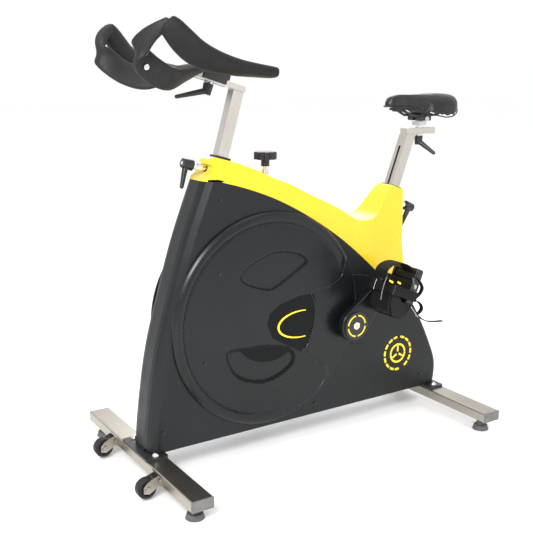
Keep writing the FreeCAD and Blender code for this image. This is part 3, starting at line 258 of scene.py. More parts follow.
NODE_MAT = {
    "main_frame": powder, "foot_brackets": powder, "front_stabilizer": steel_y, "rear_stabilizer": steel_y,
    "stabilizer_plugs": grey_plastic, "foot_bolts": chrome, "left_side_cover": black, "right_side_cover": black,
    "left_disc_cover": black_disc, "right_disc_cover": black_disc, "front_strip": black, "top_cover": yellow,
    "post_sleeves": nylon, "cover_screws": nylon, "crank_bearings": steel, "flywheel_axle": steel, "drive_belt": rubber,
    "post_clamp_studs": chrome, "wheel_brackets": steel_y, "brake_spring": steel, "handlebar_post": steel_h,
    "handlebar_carriage": powder, "handlebar_clamp_stud": chrome, "handlebar_lever": nylon, "handlebar_core": rubber,
    "left_handlebar_pad": foam, "right_handlebar_pad": foam, "head_lever": nylon, "seat_tube_lever": nylon,
    "seat_post": steel_s, "seat_clamp_stud": chrome, "saddle_lever": nylon, "saddle_bracket": steel,
    "saddle_clamp": powder, "saddle_rails": powder, "saddle_base": nylon, "saddle_pad": vinyl, "brake_sleeve": chrome,
    "brake_rod": chrome, "brake_pad": felt, "resistance_knob": nylon, "flywheel": iron, "flywheel_bearings": steel,
    "flywheel_pulley": steel, "crank_axle": steel, "crank_pulley": iron, "left_crank_arm": black_disc,
    "right_crank_arm": black_disc, "crank_caps": gloss_black, "pedal_spindles": steel, "left_pedal": nylon,
    "right_pedal": nylon, "left_toe_clip": nylon, "right_toe_clip": nylon, "left_transport_wheel": rubber,
    "right_transport_wheel": rubber, "front_left_foot": foot_grey, "front_right_foot": foot_grey,
    "rear_left_foot": foot_grey, "rear_right_foot": foot_grey,
}
for n, o in nodes.items():
    o.data.materials.clear()
    o.data.materials.append(NODE_MAT.get(n, nylon))


# ---------------------------------------------------------------------------------------------
# mesh helpers
# ---------------------------------------------------------------------------------------------
def make(name, verts, faces, mat, body, smooth=True, replaces=(), flip=False):
    me = bpy.data.meshes.new(name)
    me.from_pydata([tuple(v) for v in verts], [], [tuple(f) for f in faces])
    bm = bmesh.new()
    bm.from_mesh(me)
    bmesh.ops.remove_doubles(bm, verts=bm.verts, dist=1e-6)
    bmesh.ops.recalc_face_normals(bm, faces=bm.faces)
    bm.to_mesh(me)
    bm.free()
    o = bpy.data.objects.new(name, me)
    bpy.context.scene.collection.objects.link(o)
    me.materials.append(mat)
    if smooth:
        for p in me.polygons:
            p.use_smooth = True
    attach(o, body)
    if replaces:
        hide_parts(*replaces)
    return o


def catmull(pts, k, closed=False):
    pts = [np.array(p, float) for p in pts]
    n = len(pts)
    out = []
    rng = range(n) if closed else range(n - 1)
    for i in rng:
        if closed:
            a, b, c, d = pts[i - 1], pts[i], pts[(i + 1) % n], pts[(i + 2) % n]
        else:
            a, b, c, d = pts[max(0, i - 1)], pts[i], pts[i + 1], pts[min(n - 1, i + 2)]
        for j in range(k):
            t = j / k
            out.append(0.5 * ((2 * b) + (-a + c) * t + (2 * a - 5 * b + 4 * c - d) * t * t + (-a + 3 * b - 3 * c + d) * t ** 3))
    if not closed:
        out.append(pts[-1])
    return out


def loft(sections):
    """Closed mesh through equal rings of points; the two ends are drawn to their middles."""
    n = len(sections[0])
    verts, faces = [], []
    for s in sections:
        verts += [tuple(p) for p in s]
    for i in range(len(sections) - 1):
        for j in range(n):
            a, b = i * n + j, i * n + (j + 1) % n
            faces.append((a, b, b + n, a + n))
    for base, s in ((0, sections[0]), ((len(sections) - 1) * n, sections[-1])):
        c = len(verts)
        verts.append(tuple(sum((np.array(p) for p in s), np.zeros(3)) / n))
        for j in range(n):
            faces.append((base + j, base + (j + 1) % n, c))
    return verts, faces


def sweep_sections(rows, k=5, n=28, p=2.5, ends=(1.0, 1.0), wobble=None):
    """rows: (centre, width direction, half width, half thickness) in working mm."""
    flat = [list(c) + list(w) + [a, b] for c, w, a, b in rows]
    dense = catmull(flat, k)
    out = []
    m = len(dense)
    for i, r in enumerate(dense):
        c, w, a, b = r[:3], r[3:6], r[6], r[7]
        t = dense[min(m - 1, i + 1)][:3] - dense[max(0, i - 1)][:3]
        t = t / np.linalg.norm(t)
        w = w - t * np.dot(w, t)
        w = w / np.linalg.norm(w)
        u = np.cross(t, w)
        ring = []
        for j in range(n):
            th = 2 * math.pi * j / n
            ca, sa = math.cos(th), math.sin(th)
            x = a * math.copysign(abs(ca) ** (2 / p), ca)
            y = b * math.copysign(abs(sa) ** (2 / p), sa)
            q = c + w * x + u * y
            ring.append(q)
        out.append((c, t, ring))
    rings = [s[2] for s in out]
    for which, e in ((0, ends[0]), (-1, ends[1])):
        if e <= 0:
            continue
        c, t, ring = out[which]
        b = flat[which][7]
        sgn = -1 if which == 0 else 1
        caps = []
        for f, d in ((0.97, 0.28), (0.88, 0.58), (0.70, 0.84), (0.42, 0.98)):
            caps.append([c + (q - c) * f + t * sgn * b * d * e for q in ring])
        if which == 0:
            rings = caps[::-1] + rings
        else:
            rings = rings + caps
    return [[tuple(P(*q)) for q in ring] for ring in rings]


def tube(name, pts, r, mat, body, k=6, n=10, closed=False, flat=None):
    """Round (or flat = (half width, half thickness, width direction)) bar along points in working mm."""
    line = catmull(pts, k, closed) if k > 1 else [np.array(p, float) for p in pts]
    m = len(line)
    rings = []
    prev = None
    for i, c in enumerate(line):
        if closed:
            t = line[(i + 1) % m] - line[i - 1]
        else:
            t = line[min(m - 1, i + 1)] - line[max(0, i - 1)]
        t = t / np.linalg.norm(t)
        w = np.array(flat[2], float) if flat else (prev if prev is not None else np.array([0.3, 1.0, 0.2]))
        w = w - t * np.dot(w, t)
        w = w / np.linalg.norm(w)
        prev = w
        u = np.cross(t, w)
        ring = []
        for j in range(n):
            th = 2 * math.pi * j / n
            ca, sa = math.cos(th), math.sin(th)
            if flat:
                x = flat[0] * math.copysign(abs(ca) ** 0.35, ca)
                y = flat[1] * math.copysign(abs(sa) ** 0.35, sa)
            else:
                x, y = r * ca, r * sa
            ring.append(tuple(P(*(c + w * x + u * y))))
        rings.append(ring)
    if closed:
        verts, faces = [p for r_ in rings for p in r_], []
        for i in range(m):
            for j in range(n):
                a, b = i * n + j, i * n + (j + 1) % n
                c_, d = ((i + 1) % m) * n + (j + 1) % n, ((i + 1) % m) * n + j
                faces.append((a, b, c_, d))
    else:
        verts, faces = loft(rings)
    return make(name, verts, faces, mat, body)


def lathe(name, origin, axis, prof, mat, body, n=40):
    """Turned piece: prof is (radius, distance along the axis) in mm, closed on the axis at both ends."""
    d = Vector(axis).normalized()
    u = d.orthogonal().normalized()
    v = d.cross(u)
    o = Vector(origin)
    rings = []
    for r, h in prof:
        rings.append([tuple(P(*(o + d * h + (u * math.cos(2 * math.pi * j / n) + v * math.sin(2 * math.pi * j / n)) * max(r, 0.01)))) for j in range(n)])
    verts, faces = loft(rings)
    ob = make(name, verts, faces, mat, body)
    crease(ob, 35)
    return ob


def crease(o, deg=35):
    for p in o.data.polygons:
        p.use_smooth = True
    o.data.set_sharp_from_angle(angle=math.radians(deg))


def sd_poly(pts, x, z):
    """Signed distance of the points to a polygon, negative inside."""
    p = np.array(pts, float)
    d = np.full(x.shape, 1e9)
    inside = np.zeros(x.shape, bool)
    for i in range(len(p)):
        a, b = p[i - 1], p[i]
        e = b - a
        t = np.clip(((x - a[0]) * e[0] + (z - a[1]) * e[1]) / max(1e-9, e @ e), 0, 1)
        d = np.minimum(d, np.hypot(x - a[0] - t * e[0], z - a[1] - t * e[1]))
        cond = (a[1] > z) != (b[1] > z)
        with np.errstate(divide="ignore", invalid="ignore"):
            xi = a[0] + (z - a[1]) * e[0] / (e[1] if abs(e[1]) > 1e-9 else 1e-9)
        inside ^= cond & (x < xi)
    return np.where(inside, -d, d)


def smooth(t):
    t = np.clip(t, 0, 1)
    return t * t * (3 - 2 * t)


# ---------------------------------------------------------------------------------------------
# round side covers with their moulded bead, scoops and the flat panel round the crank
# ---------------------------------------------------------------------------------------------
FX, FZ, DR = 123.0, 370.0, 288.0
UPPER = catmull([(148, 543), (180, 530), (210, 507), (217, 494), (208, 478), (178, 462), (130, 448), (98, 456), (28, 494), (2, 512), (20, 534), (66, 549), (113, 552)], 4, True)
LOWER = catmull([(258, 306), (190, 309), (130, 304), (62, 285), (42, 246), (76, 212), (145, 195), (218, 217), (256, 262)], 4, True)
DROP = [(-11, 424), (30, 424), (95, 409), (129, 387), (137, 360), (120, 319), (68, 287), (25, 263), (-1, 286), (-22, 351), (-20, 397)]
MOUTH = [(-120, 491), (-107, 453), (-70, 435), (-11, 425), (-20, 397), (-22, 351), (-1, 286), (25, 263), (-12, 235), (-61, 206),
         (-80, 150), (-20, 60), (-260, 60), (-330, 320), (-200, 520), (-128, 512)]
FACE_Y = 63.5


def disc_height(x, z):
    r = np.hypot(x - FX, z - FZ)
    phi = np.degrees(np.arctan2(z - FZ, x - FX)) % 360
    # bead round the rim, dying out low at the back and ending at the crank panel
    amp = np.ones_like(x)
    amp = np.where((phi > 250) & (phi < 300), smooth((phi - 250) / 50), amp)
    amp = np.where((phi >= 154) & (phi <= 250), 0.0, amp)
    amp = np.where((phi > 147) & (phi < 154), smooth((154 - phi) / 7), amp)
    t = np.clip((r - (DR - 31)) / 31, 0, 1)
    bead = 8.0 * np.sin(np.pi * np.clip(t, 0, 1)) ** 0.8
    edge = np.where(r > DR - 4, -2.2 * (1 - np.sqrt(np.clip(1 - ((r - DR + 4) / 4) ** 2, 0, 1))), 0)
    h = FACE_Y + amp * 1.2 * bead + (1 - amp) * edge
    # shallow gutter inside the bead
    h -= 0.9 * amp * np.exp(-((r - (DR - 33)) / 2.2) ** 2)
    # slight dome
    h += 0.9 * np.clip(1 - (r / 250) ** 2, 0, 1)
    su = sd_poly(UPPER, x, z)
    h -= 7.5 * smooth(-su / 9) * smooth((x + 40) / 90)
    sl = sd_poly(LOWER, x, z)
    h -= 5.2 * smooth(-sl / 12)
    h -= 1.6 * smooth(-sd_poly(DROP, x, z) / 3.0)
    h -= 3.0 * smooth(-sd_poly(MOUTH, x, z) / 3.2)
    return h


def disc_cover(name, k, node):
    radii = list(np.linspace(1.5, DR - 36, 96)) + list(np.linspace(DR - 34, DR - 1.2, 26)) + [DR - 0.5, DR]
    seg = 432
    ang = np.arange(seg) * 2 * math.pi / seg
    verts, faces, mats = [], [], []
    rr, aa = np.meshgrid(radii, ang, indexing="ij")
    x, z = FX + rr * np.cos(aa), FZ + rr * np.sin(aa)
    h = disc_height(x, z)
    verts = [tuple(P(a, k * c, b)) for a, b, c in zip(x.ravel(), z.ravel(), h.ravel())]
    n = len(radii)
    for i in range(n - 1):
        for j in range(seg):
            a, b = i * seg + j, i * seg + (j + 1) % seg
            faces.append((a, b, b + seg, a + seg))
    mid = len(verts)
    verts.append(tuple(P(FX, k * float(disc_height(np.array([FX]), np.array([FZ]))[0]), FZ)))
    for j in range(seg):
        faces.append((mid, (j + 1) % seg, j))
    back = len(verts)
    for j in range(seg):
        verts.append(tuple(P(FX + DR * math.cos(ang[j]), k * 58.35, FZ + DR * math.sin(ang[j]))))
    last = (n - 1) * seg
    for j in range(seg):
        faces.append((last + j, last + (j + 1) % seg, back + (j + 1) % seg, back + j))
    c = len(verts)
    verts.append(tuple(P(FX, k * 58.35, FZ)))
    for j in range(seg):
        faces.append((back + j, back + (j + 1) % seg, c))
    o = make(name, verts, faces, black_disc, "frame", replaces=(node,))
    o.data.materials.append(gloss_black)
    cutter_mesh = bpy.data.meshes.new("hole")
    bm = bmesh.new()
    bmesh.ops.create_cone(bm, cap_ends=True, segments=64, radius1=0.020, radius2=0.020, depth=0.06)
    bm.to_mesh(cutter_mesh)
    bm.free()
    cutter = bpy.data.objects.new("hole", cutter_mesh)
    bpy.context.scene.collection.objects.link(cutter)
    cutter.matrix_world = Matrix.Translation(P(-136, k * 62, 320)) @ Matrix.Rotation(math.pi / 2, 4, "X")
    mod = o.modifiers.new("hole", "BOOLEAN")
    mod.object = cutter
    mod.operation = "DIFFERENCE"
    mod.solver = "EXACT"
    bpy.context.view_layer.update()
    dg = bpy.context.evaluated_depsgraph_get()
    me = bpy.data.meshes.new_from_object(o.evaluated_get(dg))
    o.modifiers.clear()
    o.data = me
    bpy.data.objects.remove(cutter)
    me.materials.clear()
    me.materials.append(black_disc)
    me.materials.append(gloss_black)
    me.materials.append(scoop_painted_shade)
    cx = np.array([p.center[0] for p in me.polygons]) / MM - DX / MM
    cz = np.array([p.center[2] for p in me.polygons]) / MM
    cy = np.array([abs(p.center[1]) for p in me.polygons]) / MM
    # faces in the teardrop and the two scoops get the darker black: painted shade in the recesses, on the teardrop
    # partly its own gloss black
    ins = (sd_poly(DROP, cx, cz) < -1.0) & (cy > 59)
    scoop = ((sd_poly(UPPER, cx, cz) < -2.0) | (sd_poly(LOWER, cx, cz) < -2.0)) & (cy > 59)
    for p, i, q in zip(me.polygons, ins, scoop):
        p.material_index = 2 if i or q else 0
    crease(o, 50)
    return o


for sname, k in (("left", 1), ("right", -1)):
    disc_cover(sname + "_round_cover", k, sname + "_disc_cover")


# ---------------------------------------------------------------------------------------------
# printed marks, as thin raised shapes
# ---------------------------------------------------------------------------------------------
def plate(name, outline, y0, th, k, mat, body, hole=None):
    """Thin raised shape on a side face: outline is a list of (x, z); hole makes no band: when it is given, no faces are
    made.
    """
    verts, faces = [], []
    n = len(outline)
    for y in (y0, y0 + th):
        verts += [tuple(P(x, k * y, z)) for x, z in outline]
    if hole is None:
        faces += [tuple(range(n)), tuple(range(2 * n - 1, n - 1, -1))]
        faces += [(j, (j + 1) % n, n + (j + 1) % n, n + j) for j in range(n)]
    o = make(name, verts, faces, mat, body, smooth=False)
    return o


def arc(cx, cz, rx, rz, a0, a1, w0, w1=None, n=40):
    """Outline of an arc band of width w0 in the middle, tapering to w1 at the ends."""
    w1 = w0 if w1 is None else w1
    outer, inner = [], []
    for i in range(n + 1):
        t = i / n
        a = math.radians(a0 + (a1 - a0) * t)
        w = w1 + (w0 - w1) * math.sin(math.pi * t)
        outer.append((cx + (rx + w / 2) * math.cos(a), cz + (rz + w / 2) * math.sin(a)))
        inner.append((cx + (rx - w / 2) * math.cos(a), cz + (rz - w / 2) * math.sin(a)))
    return outer + inner[::-1]


def disc_y(x, z):
    return float(disc_height(np.array([float(x)]), np.array([float(z)]))[0])


for sname, k in (("left", 1), ("right", -1)):
    # open yellow arc on the round cover
    plate(sname + "_cover_arc", arc(24, 343, 75, 37, -100, 100, 6.0, 2.5, 60), disc_y(60, 345) + 0.15, 1.4, k, yellow_ink, "frame")
    # ring and simple mark on the crank cap
    for i in range(4):
        plate("%s_crank_ring_%d" % (sname, i), arc(-136, 320, 29.5, 29.5, 8 + 90 * i, 82 + 90 * i, 4.0, 4.0, 20), 102.9, 0.7, k, yellow_ink, "crank")
    hexa = [(-136 + 11.0 * math.cos(math.radians(60 * i + 30)), 320 + 11.0 * math.sin(math.radians(60 * i + 30))) for i in range(6)]
    plate(sname + "_crank_mark", hexa, 102.9, 0.6, k, white_ink, "crank")
    dot = [(-136 + 5.0 * math.cos(math.radians(20 * i)), 320 + 5.0 * math.sin(math.radians(20 * i))) for i in range(18)]
    plate(sname + "_crank_dot", dot, 103.3, 0.6, k, yellow_ink, "crank")
    # broken ring with a plain wheel sign on the rear of the side cover
    cx, cz = -330.0, 193.0
    segs = [(100, 118), (124, 142), (148, 166), (172, 190), (196, 214), (220, 238), (262, 280), (286, 304), (310, 328), (334, 352), (-2, 16), (22, 40), (46, 64), (70, 86)]
    for i, (a0, a1) in enumerate(segs):
        plate("%s_rear_ring_%02d" % (sname, i), arc(cx, cz, 50, 50, a0, a1, 7.0, 6.0, 8), 57.95, 0.7, k, yellow_ink, "frame")
    plate(sname + "_rear_sign_a", arc(cx, cz, 27, 27, 0, 178, 6.0, 6.0, 30), 57.95, 0.7, k, yellow_ink, "frame")
    plate(sname + "_rear_sign_b", arc(cx, cz, 27, 27, 180, 358, 6.0, 6.0, 30), 57.95, 0.7, k, yellow_ink, "frame")
    for i in range(3):
        a = math.radians(90 + 120 * i)
        ux, uz = math.cos(a), math.sin(a)
        pts = [(cx + ux * 5 - uz * 3.2, cz + uz * 5 + ux * 3.2), (cx + ux * 25 - uz * 2.4, cz + uz * 25 + ux * 2.4),
               (cx + ux * 25 + uz * 2.4, cz + uz * 25 - ux * 2.4), (cx + ux * 5 + uz * 3.2, cz + uz * 5 - ux * 3.2)]
        plate("%s_rear_spoke_%d" % (sname, i), pts, 57.95, 0.7, k, yellow_ink, "frame")


# ---------------------------------------------------------------------------------------------
# handlebar: two foam wings, two wide rubber-coated bands, clamp block, cross bar and bolts
# ---------------------------------------------------------------------------------------------
BAND = [((262, 24, 1026), (0.1, -1.0, 0.0), 17, 8), ((304, 40, 1014), (0.1, -0.95, -0.2), 23, 8.5), ((350, 56, 1000), (0.2, -0.8, -0.5), 27, 9),
        ((400, 74, 990), (0.3, -0.5, -0.8), 29, 9), ((445, 88, 1004), (0.3, -0.35, -0.88), 30, 9), ((482, 98, 1030), (0.2, -0.15, -0.95), 28, 9),
        ((497, 111, 1053), (-0.1, 0.1, -0.98), 25, 9), ((488, 131, 1077), (-0.4, 0.45, -0.72), 20, 9.5), ((470, 150, 1096), (-0.4, 0.4, -0.75), 15, 10),
        ((451, 165, 1108), (-0.3, 0.3, -0.85), 13, 11)]
WING = [((452, 167, 1104), (0.45, -0.3, -0.82), 24, 12), ((441, 171, 1093), (0.5, -0.33, -0.8), 27, 13.5), ((421, 177, 1070), (0.5, -0.38, -0.74), 30, 14),
        ((396, 184, 1048), (0.45, -0.5, -0.68), 30, 14.5), ((356, 190, 1030), (0.3, -0.65, -0.55), 28, 15), ((304, 194, 1017), (0.15, -0.85, -0.42), 25, 15),
        ((253, 197, 1010), (0.05, -0.95, -0.2), 23, 14.5), ((215, 199, 1006), (0.0, -1.0, -0.1), 21, 13.5), ((202, 199, 1005), (0.0, -1.0, -0.1), 19, 12)]


def side(rows, k):
    return [((c[0], c[1] * k, c[2]), (w[0], w[1] * k, w[2]), a, b) for c, w, a, b in rows]


for sname, k in (("left", 1), ("right", -1)):
    v, f = loft(sweep_sections(side(BAND, k), 7, 32, 3.4, (0.8, 0.5)))
    make(sname + "_bar_band", v, f, rubber, "handlebar", replaces=("handlebar_core",) if k == 1 else ())
    v, f = loft(sweep_sections(side(WING, k), 8, 36, 2.6, (0.7, 0.35)))
    g = make(sname + "_wing_grip", v, f, foam, "handlebar", replaces=(sname + "_handlebar_pad",))
    # the chrome bolts of the band
    (c, w, a, b) = side(WING, k)[0]
    for i, (bx, by, bz, d) in enumerate(((480, 106, 1047, (0.3, 0.95, 0.0)), (478, 106, 1017, (0.3, 0.95, -0.1)), (447, 172, 1117, (-0.1, 0.9, 0.4)))):
        lathe("%s_band_bolt_%d" % (sname, i), (bx, by * k, bz), (d[0], d[1] * k, d[2]),
              [(0, -6), (4.0, -6), (4.0, 0), (6.2, 0), (6.4, 2.2), (5.6, 3.4), (3.0, 3.6), (2.8, 2.2), (0, 2.2)], chrome, "handlebar", 24)

# cross bar and clamp block, as lofted castings
bar = []
for y in np.linspace(-62, 62, 17):
    fl = 1 - 0.2 * smooth(np.array([(abs(y) - 46) / 16]))[0]
    bar.append([tuple(P(272 + 21 * fl * math.copysign(abs(math.cos(a)) ** 0.6, math.cos(a)), y, 1022 + 8 * fl * math.copysign(abs(math.sin(a)) ** 0.6, math.sin(a)))) for a in [2 * math.pi * j / 24 for j in range(24)]])
v, f = loft(bar)
make("handlebar_cross_bar", v, f, rubber, "handlebar")


def on(Px, Pz, tilt, t, u, y=0.0):
    a = math.radians(tilt)
    return (Px - math.sin(a) * t + math.cos(a) * u, y, Pz + math.cos(a) * t + math.sin(a) * u)


lug = []
for t, gx, gy in ((207.9, 34, 21), (208.6, 36, 23), (212, 37, 24), (218, 36, 23), (223, 33, 20), (225, 28, 16)):
    ring = []
    for j in range(36):
        a = 2 * math.pi * j / 36
        ring.append(tuple(P(*on(235, 795, 16.2, t, 78 + gx * math.copysign(abs(math.cos(a)) ** 0.45, math.cos(a)), gy * math.copysign(abs(math.sin(a)) ** 0.45, math.sin(a))))))
    lug.append(ring)
v, f = loft(lug)
make("handlebar_block", v, f, rubber, "handlebar")


# ---------------------------------------------------------------------------------------------
# saddle: padded vinyl top made with a cloth simulation, and piping
# ---------------------------------------------------------------------------------------------
GRID = np.linspace(-560, -290, 541)
_curves = {}


def interp(x, table):
    """Smoothed value of a table of (position, value) rows."""
    key = id(table)
    if key not in _curves:
        v = np.interp(GRID, [p[0] for p in table], [p[1] for p in table])
        g = np.exp(-0.5 * (np.arange(-16, 17) * 0.5 / 3.2) ** 2)
        _curves[key] = np.convolve(np.pad(v, 16, mode="edge"), g / g.sum(), mode="valid")
    return float(np.interp(x, GRID, _curves[key]))


HALF = [(-546, 22), (-543, 35), (-536, 51), (-520, 67), (-500, 74), (-470, 69.5), (-436, 55), (-402, 38), (-366, 28), (-328, 22), (-312, 17), (-306, 11), (-303.5, 5)]
TOPZ = [(-546, 934), (-538, 941), (-520, 945.5), (-480, 946), (-440, 944.5), (-400, 943), (-372, 943), (-332, 945), (-314, 940), (-306, 930), (-303.5, 921)]
BOTZ = [(-546, 912), (-540, 906), (-522, 893), (-500, 882), (-476, 879), (-440, 887), (-410, 898), (-380, 907), (-350, 909), (-312, 909.5), (-303.5, 913)]
CAVITY = 909.2


def saddle_section(x, shrink=0.0):
    w = interp(x, HALF) - shrink
    zt, zb = interp(x, TOPZ) - shrink, interp(x, BOTZ) + shrink * 0.3
    ring = []
    n = 44
    groove = 2.4 * math.exp(-((x + 420) / 90.0) ** 2)
    for j in range(n):
        a = math.pi * j / n
        ca, sa = math.cos(a), math.sin(a)
        y = w * math.copysign(abs(ca) ** 0.72, ca)
        z = zb + (zt - zb) * abs(sa) ** 0.62
        z -= groove * math.exp(-(y / 7.0) ** 2)
        ring.append(tuple(P(x, y, z)))
    iw = max(w * 0.80, 0.5)
    top = max(CAVITY, zb + 0.4)
    for j in range(n):
        a = math.pi * j / n
        ca, sa = -math.cos(a), math.sin(a)
        y = iw * math.copysign(abs(ca) ** 0.25, ca)
        z = zb + 0.3 + (top - zb) * abs(sa) ** 0.25
        ring.append(tuple(P(x, y, z)))
    return ring


xs = list(np.linspace(-545.6, -303.8, 64))
v, f = loft([saddle_section(x, 1.0) for x in xs])
pad = make("saddle_cushion", v, f, vinyl, "saddle", replaces=("saddle_pad",))


def swell(o, voxel=0.004, pressure=3.0, cap=0.004, hold=None):
    """Voxel remesh, cloth pressure, capped movement, one subdivision."""
    base_parent = o["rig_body"]
    bpy.context.view_layer.update()
    dg = bpy.context.evaluated_depsgraph_get()
    me = o.data.copy()
    me.transform(o.matrix_world)
    w = bpy.data.objects.new("sim", me)
    bpy.context.scene.collection.objects.link(w)
    r = w.modifiers.new("r", "REMESH")
    r.mode = "VOXEL"
    r.voxel_size = voxel
    dg.update()
    bpy.context.view_layer.update()
    dg = bpy.context.evaluated_depsgraph_get()
    me2 = bpy.data.meshes.new_from_object(w.evaluated_get(dg))
    w.modifiers.clear()
    w.data = me2
    rest = np.array([tuple(q.co) for q in me2.vertices])
    c = w.modifiers.new("c", "CLOTH")
    s = c.settings
    s.quality = 5
    s.mass = 0.3
    s.tension_stiffness = 25
    s.compression_stiffness = 25
    s.shear_stiffness = 12
    s.bending_stiffness = 1.2
    s.use_pressure = True
    s.uniform_pressure_force = pressure
    s.effector_weights.gravity = 0.0
    c.point_cache.frame_start = 1
    c.point_cache.frame_end = 20
    sc = bpy.context.scene
    for fr in range(1, 21):
        sc.frame_set(fr)
    dg = bpy.context.evaluated_depsgraph_get()
    me3 = bpy.data.meshes.new_from_object(w.evaluated_get(dg))
    now = np.array([tuple(q.co) for q in me3.vertices])
    d = now - rest
    L = np.linalg.norm(d, axis=1)
    L[L < 1e-9] = 1e-9
    d *= (np.minimum(L, cap) / L)[:, None]
    out = rest + d
    if hold is not None:
        still = hold(rest)
        out[still] = rest[still]
    me3.vertices.foreach_set("co", out.astype(np.float32).ravel())
    me3.update()
    sc.frame_set(1)
    w.modifiers.clear()
    w.data = me3
    sub = w.modifiers.new("s", "SUBSURF")
    sub.levels = sub.render_levels = 1
    bpy.context.view_layer.update()
    dg = bpy.context.evaluated_depsgraph_get()
    me4 = bpy.data.meshes.new_from_object(w.evaluated_get(dg))
    mats = list(o.data.materials)
    bpy.data.objects.remove(w)
    me4.transform(o.matrix_world.inverted())
    o.data = me4
    me4.materials.clear()
    for m in mats:
        me4.materials.append(m)
    for p in me4.polygons:
        p.use_smooth = True


def under(q):
    x = (q[:, 0] - DX) / MM
    half = np.interp(x, [a[0] for a in HALF], [a[1] for a in HALF])
    return (np.abs(q[:, 1]) / MM < half * 0.86) & (q[:, 2] / MM < 914)

swell(pad, hold=under)

# rolled lower edge
rim = []
for x in list(np.linspace(-543, -305, 48)):
    rim.append((x, interp(x, HALF) * 0.95, interp(x, BOTZ) + 1.5))
loop = [(x, y, z) for x, y, z in rim] + [(x, -y, z) for x, y, z in rim[::-1]]
tube("saddle_edge", loop, 1.8, vinyl, "saddle", k=3, n=10, closed=True)


